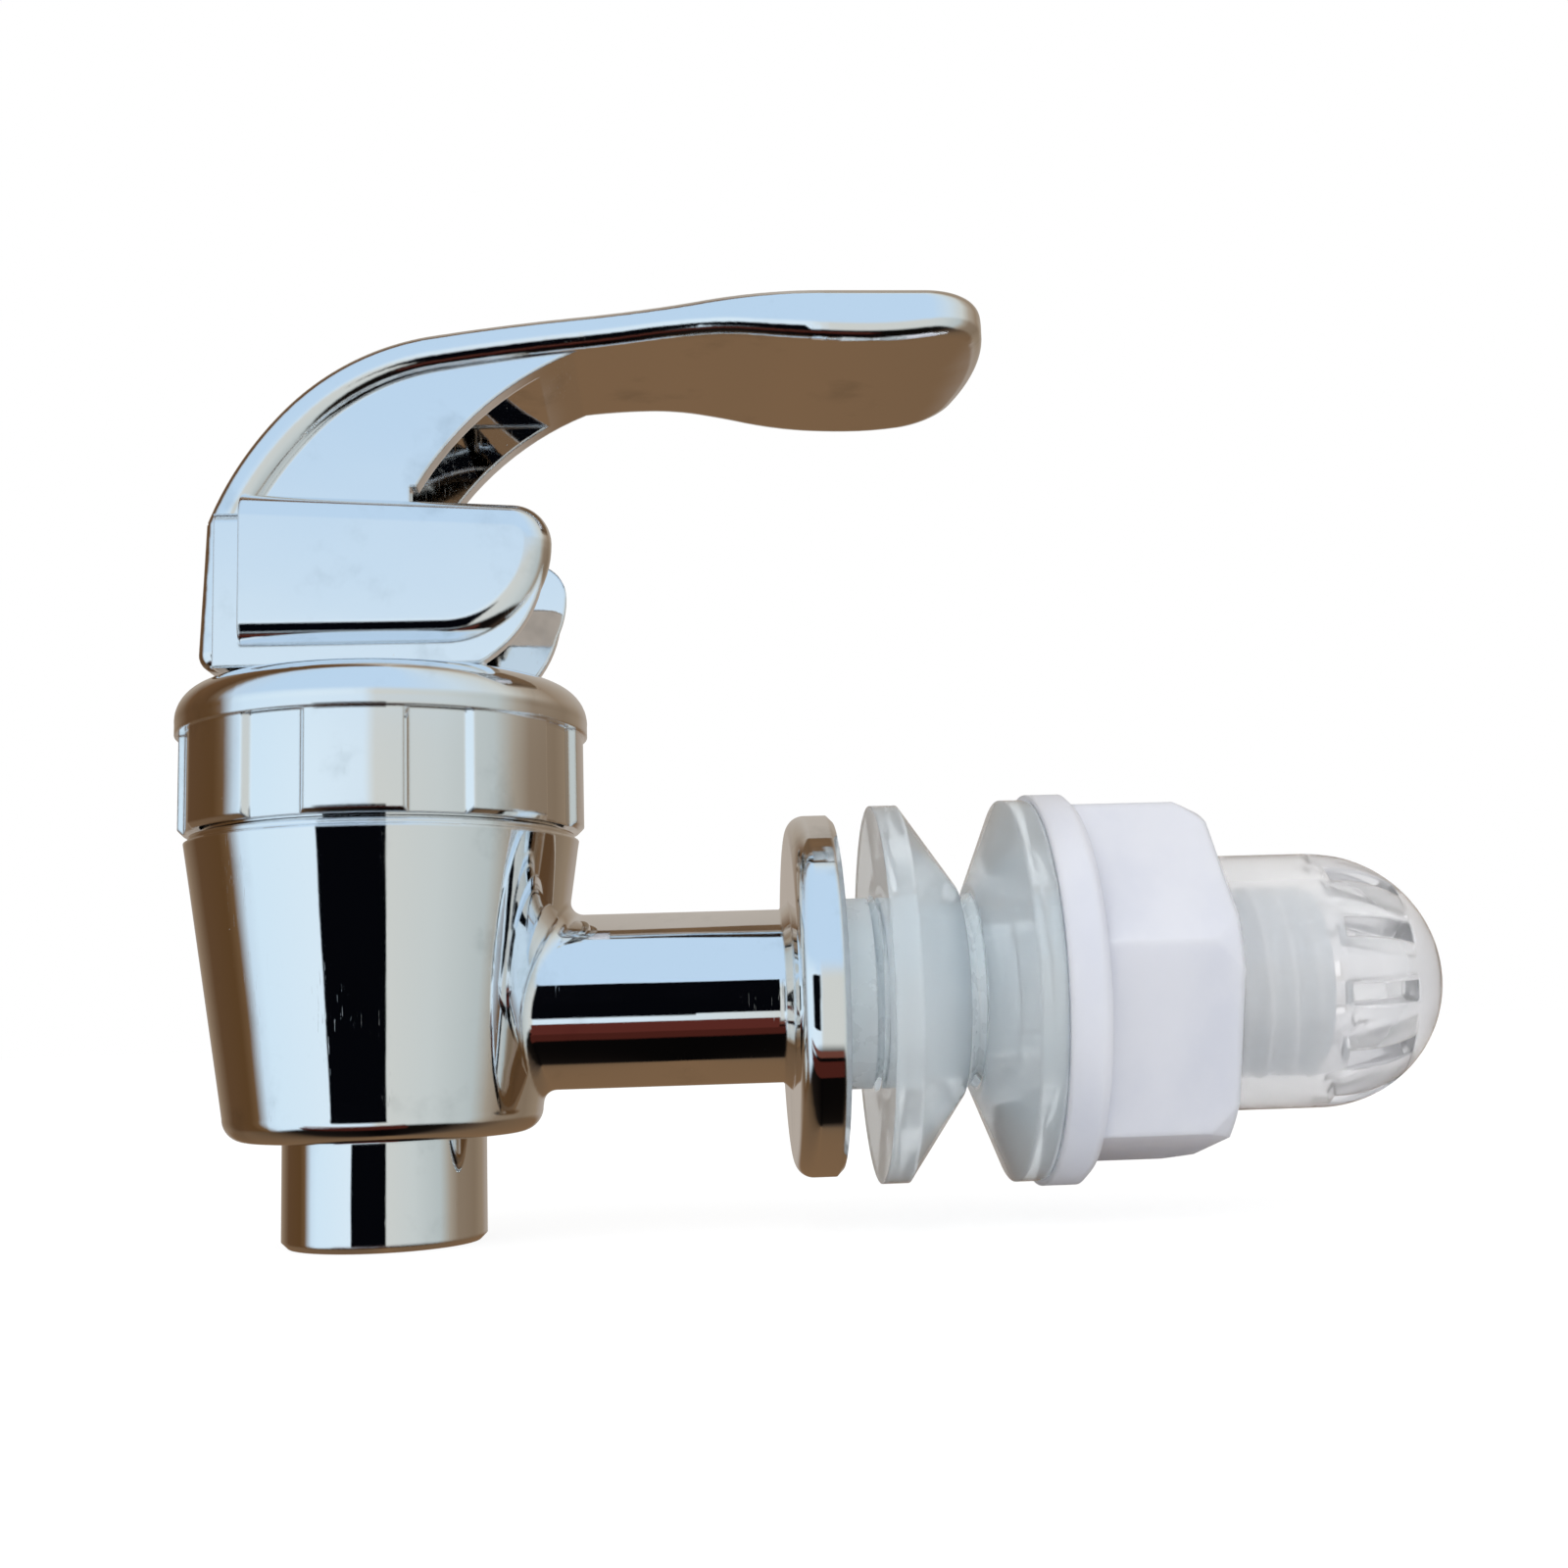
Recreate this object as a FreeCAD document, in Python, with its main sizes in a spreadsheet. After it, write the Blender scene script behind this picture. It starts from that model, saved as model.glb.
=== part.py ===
# Lever tap for a beverage dispenser: chrome body, collar and lever, and a translucent threaded shank
# with two cone washers, a flanged nut and a strainer cap.
# The origin is on the shank axis at the back face of the flange, +X runs into the vessel, +Z is up.
# The barrel, its collar and the lever turn about the vertical axis at x = -barrel_offset.
import FreeCAD, Part
import math
import os
import re
import Sketcher

SIZES = [
    ("barrel_offset", 36.85, "from the flange's back face to the barrel axis"),
    ("fit_gap", 0.05, "radial play of parts that turn or slide on each other"),
    ("loose_gap", 0.3, "air between parts that pass without touching"),
    ("cut_margin", 1.0, "how far a cut runs out past the part"),
    # Barrel and spout
    ("collar_overhang", 0.8, "how far the collar stands out over the barrel"),
    ("barrel_foot_r", 12.7, "outer radius at the bottom"),
    ("barrel_foot_z", -10.3, "underside of the barrel"),
    ("barrel_foot_round", 1.9, "rounding of the bottom edge"),
    ("shoulder_z", 13.8, "ledge under the collar"),
    ("ledge_height", 0.5, "height of the bright ledge line under the collar"),
    ("ledge_step", 0.35, "how far the ledge stands in from the barrel"),
    ("neck_wall", 4.0, "wall of the neck round the chamber"),
    ("neck_top_z", 22.2, "top rim of the barrel"),
    ("chamber_floor_z", -7.7, "floor of the chamber"),
    ("seat_height", 1.2, "height of the seat ring above the floor"),
    ("seat_width", 1.2, "width of the seat ring"),
    ("spout_r", 8.1, "outer radius of the spout"),
    ("spout_bore_r", 6.3, "bore of the spout"),
    ("spout_bore_top_z", -9.6, "upper end of that bore"),
    ("seat_port_r", 5.7, "port through the seat"),
    ("spout_lip_z", -18.7, "lower end of the spout"),
    ("spout_lip_bevel", 0.5, "bevel of the spout's lip"),
    # Side tube and flange
    ("tube_r", 7.1, "outer radius of the side tube"),
    ("tube_fillet", 1.1, "blend between the tube and the barrel"),
    ("port_r", 4.0, "bore of the side tube and the shank"),
    ("flange_r", 14.8, "radius of the flange"),
    ("flange_depth", 3.8, "thickness of the flange"),
    ("flange_round", 1.5, "rounding of its front edge"),
    ("flange_back_bevel", 0.5, "bevel of its back edge"),
    ("flange_root_bevel", 0.7, "slope between the flange and the tube"),
    # Shank
    ("shank_length", 39.4, "from the flange to the open end"),
    ("thread_r", 8.0, "radius over the thread"),
    ("neck_length", 2.6, "plain length beside the flange"),
    ("shank_neck_r", 7.85, "radius of the plain length"),
    ("seal_depth", 1.2, "thickness of the seal at the spigot's end"),
    ("shank_end_chamfer", 0.9, "chamfer of the open end"),
    ("spigot_r", 5.4, "radius of the spigot in the side tube"),
    ("spigot_length", 12.0, "length of the spigot"),
    # Cone washers
    ("washer_r", 15.5, "radius over the rim"),
    ("washer_rim", 2.1, "width of the rim"),
    ("washer_length", 6.8, "from the flat face to the small end"),
    ("washer_tip_r", 8.9, "radius of the small end"),
    ("inner_washer_length", 4.9, "the same length of the washer beside the nut"),
    ("inner_washer_r", 15.7, "radius of the washer beside the nut"),
    ("outer_washer_x", 3.2, "flat face of the washer beside the flange"),
    ("inner_washer_x", 16.2, "flat face of the washer beside the nut"),
    # Nut
    ("nut_flange_r", 16.1, "radius of the nut's flange"),
    ("nut_flange_depth", 3.3, "thickness of the nut's flange"),
    ("nut_flange_bevel", 0.6, "bevel of the flange"),
    ("nut_length", 13.8, "whole length of the nut"),
    ("nut_across_flats", 27.0, "width across the flats"),
    ("nut_turn_angle", -19.0, "angle of the first corner from +Z"),
    ("nut_chamfer", 1.1, "how far the corners are cut back at the end"),
    # Strainer cap
    ("strainer_r", 10.6, "outer radius"),
    ("strainer_x", 30.3, "open rim"),
    ("strainer_wall", 2.3, "wall of the dome"),
    ("strainer_straight", 9.9, "length of the straight part"),
    ("strainer_rim_bevel", 0.4, "bevel of the open rim"),
    ("dome_length", 10.4, "length of the dome"),
    ("slot_count", 12, "slots around the dome"),
    ("slot_width", 1.7, "width of a slot"),
    ("slot_start", 9.5, "from the open rim to a slot"),
    ("slot_length", 6.0, "length of a slot along the axis"),
    ("slot_angle", 8.0, "angle of the first slot"),
    # Collar nut
    ("collar_r", 16.7, "outer radius"),
    ("collar_wall", 2.0, "wall of the grip band"),
    ("collar_foot_z", 14.1, "lower edge"),
    ("collar_foot_bevel", 0.4, "bevel of the lower edge"),
    ("collar_top_z", 26.1, "upper face"),
    ("collar_plate", 2.2, "thickness of the upper face"),
    ("collar_hole_r", 6.0, "hole for the stem"),
    ("collar_round_wide", 2.6, "width of the rounded shoulder"),
    ("collar_round_high", 3.2, "height of the rounded shoulder"),
    ("collar_step", 0.35, "lip between the shoulder and the grip band"),
    ("grip_count", 8, "grip recesses around the collar"),
    ("grip_top_z", 22.1, "upper end of a recess"),
    ("grip_depth", 0.9, "depth of a recess"),
    ("grip_angle", 21.0, "angle that a recess spans"),
    ("grip_slant", 2.7, "angle that each slanted side of a recess takes"),
    ("grip_start", 13.0, "angle of the first recess from the front"),
    # Bonnet guide with its gasket and the stem's seal
    ("gasket_depth", 0.75, "thickness of the gasket on the barrel's rim"),
    ("gasket_width", 2.6, "width of that gasket"),
    ("stem_seal_depth", 1.3, "height of the seal round the stem"),
    ("stem_seal_width", 1.2, "width of that seal"),
    ("stem_seal_cover", 0.6, "wall of the guide above that seal"),
    ("guide_plug_length", 5.2, "how far the guide reaches into the chamber"),
    ("spring_pocket_depth", 4.0, "depth of the spring's pocket in the guide"),
    # Stem, cup and spring
    ("stem_r", 3.0, "radius of the stem"),
    ("stem_top_z", 36.4, "top of the stem in the lever"),
    ("stem_foot_z", -3.8, "lower end of the stem in the cup"),
    ("stem_chamfer", 0.6, "chamfer of the stem's top"),
    ("bulb_r", 3.6, "radius of the stem's bulb that holds the cup"),
    ("bulb_length", 2.2, "length of that bulb"),
    ("bulb_neck_r", 2.3, "radius of the stem above the bulb"),
    ("bulb_neck_length", 2.4, "length of that neck"),
    ("stem_disc_z", 4.0, "underside of the disc that takes the spring"),
    ("stem_disc_depth", 1.4, "thickness of that disc"),
    ("stem_disc_r", 6.4, "radius of that disc"),
    ("cup_foot_r", 7.6, "radius of the cup's plug"),
    ("cup_foot_depth", 2.4, "thickness of the cup's plug"),
    ("cup_neck_r", 4.9, "radius of the cup's neck"),
    ("cup_base_bevel", 1.0, "slope from the plug to the neck"),
    ("cup_boss_r", 5.2, "radius of the boss that dips into the spout"),
    ("cup_boss_depth", 1.0, "length of that boss"),
    ("spring_r", 4.8, "mean radius of the spring"),
    ("wire_r", 0.45, "radius of the spring's wire"),
    ("spring_turns", 5.0, "turns of the spring"),
    # Pin and lever hub
    ("pin_r", 1.5, "radius of the hinge pin"),
    ("pin_z", 33.0, "height of the hinge"),
    ("pin_half", 9.4, "half length of the pin"),
    ("hub_foot_z", 26.4, "lower face of the hub"),
    ("hub_half", 11.0, "half width over the cheeks"),
    ("hub_wall", 2.2, "wall of a cheek"),
    ("hub_step", 0.9, "how far a cheek stands out from the hub behind it"),
    ("hub_inset", 0.6, "how far the hub's outline lies inside the cheek's"),
    ("hub_chin_x", 9.0, "where the hub's chin runs into its lower face"),
    ("hub_chin_round", 10.0, "radius of that chin"),
    ("hub_roof", 1.8, "thickness of the shoulder between a cheek and the arm"),
    ("boss_r", 3.1, "radius of the pin boss inside a cheek"),
    ("boss_inner", 5.2, "half distance between the pin bosses"),
    ("cheek_round", 2.0, "rounding of the cheek's outer edge"),
    ("cheek_back_x", -9.6, "left edge of the raised cheek"),
    ("cheek_top_z", 40.5, "upper edge of the cheek at the left"),
    ("cheek_slope", 3.1, "fall of the upper edge towards the nose"),
    ("cheek_nose_x", 14.6, "rightmost place of the cheek"),
    ("cheek_nose_round", 3.1, "radius of the nose"),
    ("cheek_foot_z", 27.8, "lower edge of the raised cheek"),
    # Lever arm and paddle
    ("arm_half", 9.4, "half width of the arm's plate"),
    ("arm_plate", 3.0, "thickness of the arm's plate"),
    ("arm_back_x", -13.2, "back of the plate at its foot"),
    ("arm_foot_round", 1.4, "rounding of the foot"),
    ("arm_knee_x", -12.7, "back of the plate at the joint line"),
    ("arm_knee_z", 38.4, "height of the joint line"),
    ("joint_line", 0.25, "width and depth of that line"),
    ("arm_bend_x", -6.5, "where the bend turns flatter"),
    ("arm_bend_z", 48.2, "height there"),
    ("arm_bend_angle", 45.8, "slope there"),
    ("arm_crown_x", 5.0, "where the arm runs out nearly straight"),
    ("arm_crown_z", 54.2, "height there"),
    ("paddle_high_x", 36.0, "highest place of the paddle"),
    ("paddle_high_z", 56.6, "its height"),
    ("paddle_thin_x", 22.0, "place where the paddle is thin"),
    ("paddle_thin", 3.4, "depth of its underside there below the highest place"),
    ("paddle_dip_x", 31.0, "place where the underside turns up again"),
    ("paddle_dip", 3.77, "depth of the underside there"),
    ("paddle_belly_x", 40.5, "lowest place of the underside"),
    ("paddle_tip_x", 51.2, "tip of the paddle"),
    ("paddle_tip_z", 56.5, "height of the tip's upper edge"),
    ("paddle_edge", 2.8, "thickness at the tip"),
    ("paddle_thick", 4.52, "thickness at the belly"),
    ("paddle_neck_x", 17.0, "narrowest place of the paddle"),
    ("paddle_neck_half", 8.6, "half width there"),
    ("paddle_wide_x", 37.2, "where the paddle reaches its full width"),
    ("paddle_half", 11.8, "half width of the paddle"),
    ("paddle_corner_x", 45.2, "where the paddle's corner starts in plan"),
    ("paddle_corner_r", 5.15, "radius of the corners in plan"),
    ("paddle_end_angle", 14.0, "half the angle that the bowed end spans"),
    ("arm_edge_round", 1.3, "rounding of the plate's edges"),
    ("web_half", 7.7, "half width over the arm's side walls"),
    ("web_wall", 1.8, "wall of the arm's sides"),
    ("web_toe_x", 20.2, "where the side walls run out under the paddle"),
    ("web_heel_x", 3.2, "where the side walls leave the hub"),
    ("web_heel_z", 40.6, "height there"),
    ("web_edge_r", 26.8, "radius of their lower edge"),
]

doc = FreeCAD.newDocument("dispenser_tap")
sheet = doc.addObject("Spreadsheet::Sheet", "Sizes")
for row, (alias, number, meaning) in enumerate(SIZES, start=1):
    sheet.set(f"A{row}", meaning)
    sheet.set(f"B{row}", str(number))
    sheet.setAlias(f"B{row}", alias)
doc.recompute()
HOME = {alias: "Sizes" for alias, _number, _meaning in SIZES}
EDGE_TOLERANCE = 0.01
NUT_SIDES = 6
WIRE_SIDES = 4

# Arcs of the lever's side view that follow one another without a kink. Each leaves its first place in the
# direction in which the one before it arrives, so its radius is worked out from the two places.
BEND = ("arm_bend_x", "arm_bend_z")
CROWN = ("arm_crown_x", "arm_crown_z")
HIGH = ("paddle_high_x", "paddle_high_z")
TIP = ("paddle_tip_x", "paddle_tip_z")
UNDER_BEND = ("arm_bend_x + arm_plate * sin(arm_bend_angle)", "arm_bend_z - arm_plate * cos(arm_bend_angle)")
UNDER_CROWN = ("arm_crown_x + arm_plate * upper_sine", "arm_crown_z - arm_plate * upper_cosine")
THIN = ("paddle_thin_x", "paddle_high_z - paddle_thin")
DIP = ("paddle_dip_x", "paddle_high_z - paddle_dip")
BELLY = ("paddle_belly_x", "paddle_high_z - paddle_thick")
UNDER_TIP = ("paddle_tip_x", "paddle_tip_z - paddle_edge")
ARCS = [
    ("upper", BEND, CROWN, ("cos(arm_bend_angle)", "sin(arm_bend_angle)")),
    ("back", CROWN, HIGH, ("upper_cosine", "upper_sine")),
    ("end", HIGH, TIP, ("back_cosine", "back_sine")),
    ("under", UNDER_CROWN, THIN, ("upper_cosine", "upper_sine")),
    ("turn", THIN, DIP, ("under_cosine", "under_sine")),
    ("dip", DIP, BELLY, ("turn_cosine", "turn_sine")),
    ("belly", BELLY, UNDER_TIP, ("dip_cosine", "dip_sine")),
    ("lower", BEND, ("arm_knee_x", "arm_knee_z"), ("-cos(arm_bend_angle)", "-sin(arm_bend_angle)")),
    ("inner", UNDER_BEND, ("arm_knee_x + arm_plate", "arm_knee_z"),
     ("-cos(arm_bend_angle)", "-sin(arm_bend_angle)")),
]

# The collar's grip band leads: the barrel, its neck and the chamber follow it inwards.
BARREL_TOP_R = "(collar_r - collar_overhang)"
NECK_R = "(collar_r - collar_wall - loose_gap)"
CHAMBER_R = f"({NECK_R} - neck_wall)"
# Plan of the lever: the sides narrow to the neck, widen in two equal arcs that meet half way,
# and run round the corners into the bowed end, all without a kink.
SIDE_RISE = "(arm_half - paddle_neck_half)"
SIDE_R = f"((paddle_neck_x - arm_back_x + cut_margin)^2 + {SIDE_RISE}^2) / (2 * {SIDE_RISE})"
FLARE_RUN = "(paddle_wide_x - paddle_neck_x)"
FLARE_RISE = "(paddle_half - paddle_neck_half)"
FLARE_X = f"(paddle_neck_x + {FLARE_RUN} / 2)"
FLARE_HALF = f"(paddle_neck_half + {FLARE_RISE} / 2)"
FLARE_R = f"({FLARE_RUN}^2 + {FLARE_RISE}^2) / (4 * {FLARE_RISE})"
END_X = "(paddle_corner_x + paddle_corner_r * cos(paddle_end_angle))"
END_HALF = "(paddle_half - paddle_corner_r * (1 - sin(paddle_end_angle)))"
# Where the cheek's upper edge runs into the round nose, and the height of the nose's rightmost place.
BROW_X = "cheek_nose_x - cheek_nose_round * (1 - sin(cheek_slope))"
BROW_Z = f"cheek_top_z - ({BROW_X} - cheek_back_x) * tan(cheek_slope)"
NOSE_Z = f"{BROW_Z} - cheek_nose_round * cos(cheek_slope)"


def bound(text):
    """Turn an expression of size names into one that reads the sheets."""
    return re.sub(r"[a-z_]+", lambda word: f"{HOME[word[0]]}.{word[0]}" if word[0] in HOME else word[0], text)


def value(text):
    """Work out an expression of size names now, as a plain number."""
    return float(sheet.evalExpression(bound(text)))


def work_out_arcs():
    """Write the radius and the last direction of every arc into a sheet of their own."""
    worked = doc.addObject("Spreadsheet::Sheet", "Arcs")
    row = 0
    for name, start, end, (cosine, sine) in ARCS:
        across = f"({end[0]} - ({start[0]}))"
        up = f"({end[1]} - ({start[1]}))"
        square = f"({across}^2 + {up}^2)"
        along = f"2 * ({across} * {cosine} + {up} * ({sine})) / {square}"
        for alias, expression in (
                (f"{name}_radius", f"{square} / (2 * ({across} * {sine} - {up} * ({cosine})))"),
                (f"{name}_cosine", f"{along} * {across} - ({cosine})"),
                (f"{name}_sine", f"{along} * {up} - ({sine})")):
            row += 1
            worked.set(f"A{row}", alias)
            worked.set(f"B{row}", f"={bound(expression)}")
            worked.setAlias(f"B{row}", alias)
            doc.recompute()
            HOME[alias] = "Arcs"


def plane(body, role):
    """Return one of the body's own origin planes or axes."""
    return next(item for item in body.Origin.OriginFeatures if item.Role == role)


def new_body(name, upright=False):
    """Start a sub-part; an upright one stands on the barrel axis."""
    body = doc.addObject("PartDesign::Body", name)
    body.Label = name
    if upright:
        body.setExpression("Placement.Base.x", bound("-barrel_offset"))
    return body


def new_sketch(body, name, role, lift=None, roll=None):
    """Attach an empty sketch to an origin plane, lifted off it or rolled about the plane's first axis."""
    sketch = body.newObject("Sketcher::SketchObject", name)
    sketch.AttachmentSupport = [(plane(body, role), "")]
    sketch.MapMode = "FlatFace"
    if roll:
        sketch.AttachmentOffset.Rotation = FreeCAD.Rotation(FreeCAD.Vector(1, 0, 0), value(roll))
        sketch.setExpression("AttachmentOffset.Rotation.Angle", bound(roll))
    if lift:
        sketch.setExpression("AttachmentOffset.Base.z", bound(lift))
    return sketch


def hold(sketch, kind, geometry, point, text):
    """Tie one coordinate of a point to an expression."""
    sketch.addConstraint(Sketcher.Constraint(kind, geometry, point, value(text)))
    sketch.setExpression(f"Constraints[{sketch.ConstraintCount - 1}]", bound(text))


def draw_circle(sketch, across, up, radius):
    """Draw a circle and tie its centre and radius to their expressions."""
    centre = FreeCAD.Vector(value(across), value(up), 0)
    circle = sketch.addGeometry(Part.Circle(centre, FreeCAD.Vector(0, 0, 1), value(radius)), False)
    hold(sketch, "DistanceX", circle, 3, across)
    hold(sketch, "DistanceY", circle, 3, up)
    sketch.addConstraint(Sketcher.Constraint("Radius", circle, value(radius)))
    sketch.setExpression(f"Constraints[{sketch.ConstraintCount - 1}]", bound(radius))


def draw(sketch, corners):
    """Draw a closed outline through corners and tie every corner to its expressions.

    A corner is (u, v), or (u, v, radius) where the edge that leaves it is an arc;
    a positive radius bends it to the left of the way round, a negative one to the right.
    """
    places = [FreeCAD.Vector(value(corner[0]), value(corner[1]), 0) for corner in corners]
    ends = []
    for index, corner in enumerate(corners):
        here = places[index]
        there = places[(index + 1) % len(places)]
        if len(corner) == 2:
            geometry = sketch.addGeometry(Part.LineSegment(here, there), False)
            ends.append((geometry, 1, 2))
            continue
        radius = value(corner[2])
        chord = there - here
        rise = math.sqrt(max(radius ** 2 - chord.Length ** 2 / 4, 0))
        left = FreeCAD.Vector(-chord.y, chord.x, 0).normalize()
        centre = (here + there) * 0.5 + left * math.copysign(rise, radius)
        start, stop = (here, there) if radius > 0 else (there, here)
        angles = [math.atan2(end.y - centre.y, end.x - centre.x) for end in (start, stop)]
        circle = Part.Circle(centre, FreeCAD.Vector(0, 0, 1), abs(radius))
        geometry = sketch.addGeometry(Part.ArcOfCircle(circle, *angles), False)
        ends.append((geometry, 1, 2) if radius > 0 else (geometry, 2, 1))
    for index, corner in enumerate(corners):
        geometry, begin, _finish = ends[index]
        before, _begin, finish = ends[index - 1]
        sketch.addConstraint(Sketcher.Constraint("Coincident", before, finish, geometry, begin))
        hold(sketch, "DistanceX", geometry, begin, corner[0])
        hold(sketch, "DistanceY", geometry, begin, corner[1])
        if len(corner) == 3:
            size = abs(value(corner[2]))
            sketch.addConstraint(Sketcher.Constraint("Radius", geometry, size))
            sketch.setExpression(f"Constraints[{sketch.ConstraintCount - 1}]", bound(f"abs({corner[2]})"))


def revolve(body, name, role, axis, corners, cut=False):
    """Turn an outline about a sketch axis, to add or to cut a round form."""
    sketch = new_sketch(body, f"{name}_outline", role)
    draw(sketch, corners)
    feature = body.newObject("PartDesign::Groove" if cut else "PartDesign::Revolution", name)
    feature.Profile = sketch
    feature.ReferenceAxis = (sketch, [axis])
    feature.Angle = 360
    return feature


def extrude(body, name, role, loops=(), circle=None, length=None, cut=False, both=True,
            lift=None, roll=None, flip=False):
    """Pad or pocket outlines, to both sides or to one; no length cuts right through."""
    sketch = new_sketch(body, f"{name}_outline", role, lift, roll)
    for loop in loops:
        draw(sketch, loop)
    if circle:
        draw_circle(sketch, *circle)
    feature = body.newObject("PartDesign::Pocket" if cut else "PartDesign::Pad", name)
    feature.Profile = sketch
    if length:
        feature.setExpression("Length", bound(length))
    else:
        feature.Type = "ThroughAll"
    feature.Midplane = both
    feature.Reversed = flip
    return feature


def edges_where(shape, wanted):
    """Name the edges whose middle point passes the test."""
    names = []
    for index, edge in enumerate(shape.Edges, start=1):
        middle = edge.valueAt((edge.FirstParameter + edge.LastParameter) / 2)
        if wanted(middle, edge):
            names.append(f"Edge{index}")
    return names


def fillet(body, name, base, wanted, radius):
    """Round the edges of a feature that pass the test."""
    doc.recompute()
    feature = body.newObject("PartDesign::Fillet", name)
    feature.Base = (base, edges_where(base.Shape, wanted))
    feature.setExpression("Radius", bound(radius))
    return feature


def polar(body, name, feature, axis_role, count):
    """Repeat a feature around one of the body's axes."""
    pattern = body.newObject("PartDesign::PolarPattern", name)
    pattern.Originals = [feature]
    pattern.Axis = (plane(body, axis_role), [""])
    pattern.Angle = 360
    pattern.setExpression("Occurrences", bound(count))
    body.Tip = pattern
    return pattern


def ring(body, axis, radii, span):
    """Turn a ring of rectangular section, from its two radii and its two ends along the axis."""
    corners = [(radii[0], span[0]), (radii[1], span[0]), (radii[1], span[1]), (radii[0], span[1])]
    if axis == "H_Axis":
        corners = [(along, radius) for radius, along in corners]
    revolve(body, f"{body.Name}_ring", "XZ_Plane", axis, corners)


def make_valve_body():
    """Barrel with spout, side tube and flange, and the chamber inside."""
    body = new_body("valve_body", upright=True)
    revolve(body, "barrel", "XZ_Plane", "V_Axis", [
        ("0", "spout_lip_z"),
        ("spout_r - spout_lip_bevel", "spout_lip_z"),
        ("spout_r", "spout_lip_z + spout_lip_bevel"),
        ("spout_r", "barrel_foot_z"),
        ("barrel_foot_r - barrel_foot_round", "barrel_foot_z", "barrel_foot_round"),
        ("barrel_foot_r", "barrel_foot_z + barrel_foot_round"),
        (BARREL_TOP_R, "shoulder_z - ledge_height"),
        (f"{BARREL_TOP_R} - ledge_step", "shoulder_z - ledge_height"),
        (f"{BARREL_TOP_R} - ledge_step", "shoulder_z"),
        (NECK_R, "shoulder_z"),
        (NECK_R, "neck_top_z"),
        ("0", "neck_top_z"),
    ])
    tube = revolve(body, "side_tube", "XZ_Plane", "H_Axis", [
        ("0", "0"),
        ("barrel_offset", "0"),
        ("barrel_offset", "flange_r - flange_back_bevel"),
        ("barrel_offset - flange_back_bevel", "flange_r"),
        ("barrel_offset - flange_depth + flange_round", "flange_r", "flange_round"),
        ("barrel_offset - flange_depth", "flange_r - flange_round"),
        ("barrel_offset - flange_depth", "tube_r + flange_root_bevel"),
        ("barrel_offset - flange_depth - flange_root_bevel", "tube_r"),
        ("0", "tube_r"),
    ])
    reach = value(f"{BARREL_TOP_R} + cut_margin")
    tube_r = value("tube_r")
    blend = fillet(body, "tube_blend", tube, lambda point, edge: (
        abs(math.hypot(point.y, point.z) - tube_r) < EDGE_TOLERANCE and 0 < point.x < reach), "tube_fillet")
    revolve(body, "chamber", "XZ_Plane", "V_Axis", [
        ("0", "spout_lip_z - cut_margin"),
        ("spout_bore_r", "spout_lip_z - cut_margin"),
        ("spout_bore_r", "spout_bore_top_z"),
        ("seat_port_r", "spout_bore_top_z"),
        ("seat_port_r", "chamber_floor_z + seat_height"),
        ("seat_port_r + seat_width", "chamber_floor_z + seat_height"),
        ("seat_port_r + seat_width", "chamber_floor_z"),
        (CHAMBER_R, "chamber_floor_z"),
        (CHAMBER_R, "neck_top_z + cut_margin"),
        ("0", "neck_top_z + cut_margin"),
    ], cut=True)
    revolve(body, "port", "XZ_Plane", "H_Axis", [
        (f"{CHAMBER_R} / 2", "0"),
        ("barrel_offset + cut_margin", "0"),
        ("barrel_offset + cut_margin", "spigot_r + fit_gap"),
        ("barrel_offset - spigot_length - seal_depth", "spigot_r + fit_gap"),
        ("barrel_offset - spigot_length - seal_depth", "port_r"),
        (f"{CHAMBER_R} / 2", "port_r"),
    ], cut=True)
    return body


def make_shank():
    """Threaded shank with its spigot in the side tube."""
    body = new_body("shank")
    revolve(body, "shank_solid", "XZ_Plane", "H_Axis", [
        ("-spigot_length", "port_r"),
        ("shank_length", "port_r"),
        ("shank_length", "thread_r - shank_end_chamfer"),
        ("shank_length - shank_end_chamfer", "thread_r"),
        ("neck_length", "thread_r"),
        ("neck_length", "shank_neck_r"),
        ("0", "shank_neck_r"),
        ("0", "spigot_r"),
        ("-spigot_length", "spigot_r"),
    ])
    return body


def make_washer(name, face, way, length, radius):
    """Cone washer; its flat face stands at face and its small end points the given way."""
    body = new_body(name)
    bore = "thread_r + fit_gap"
    revolve(body, f"{name}_solid", "XZ_Plane", "H_Axis", [
        (face, bore),
        (f"{face} {way} {length}", bore),
        (f"{face} {way} {length}", "washer_tip_r"),
        (f"{face} {way} washer_rim", radius),
        (face, radius),
    ])
    return body


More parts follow.
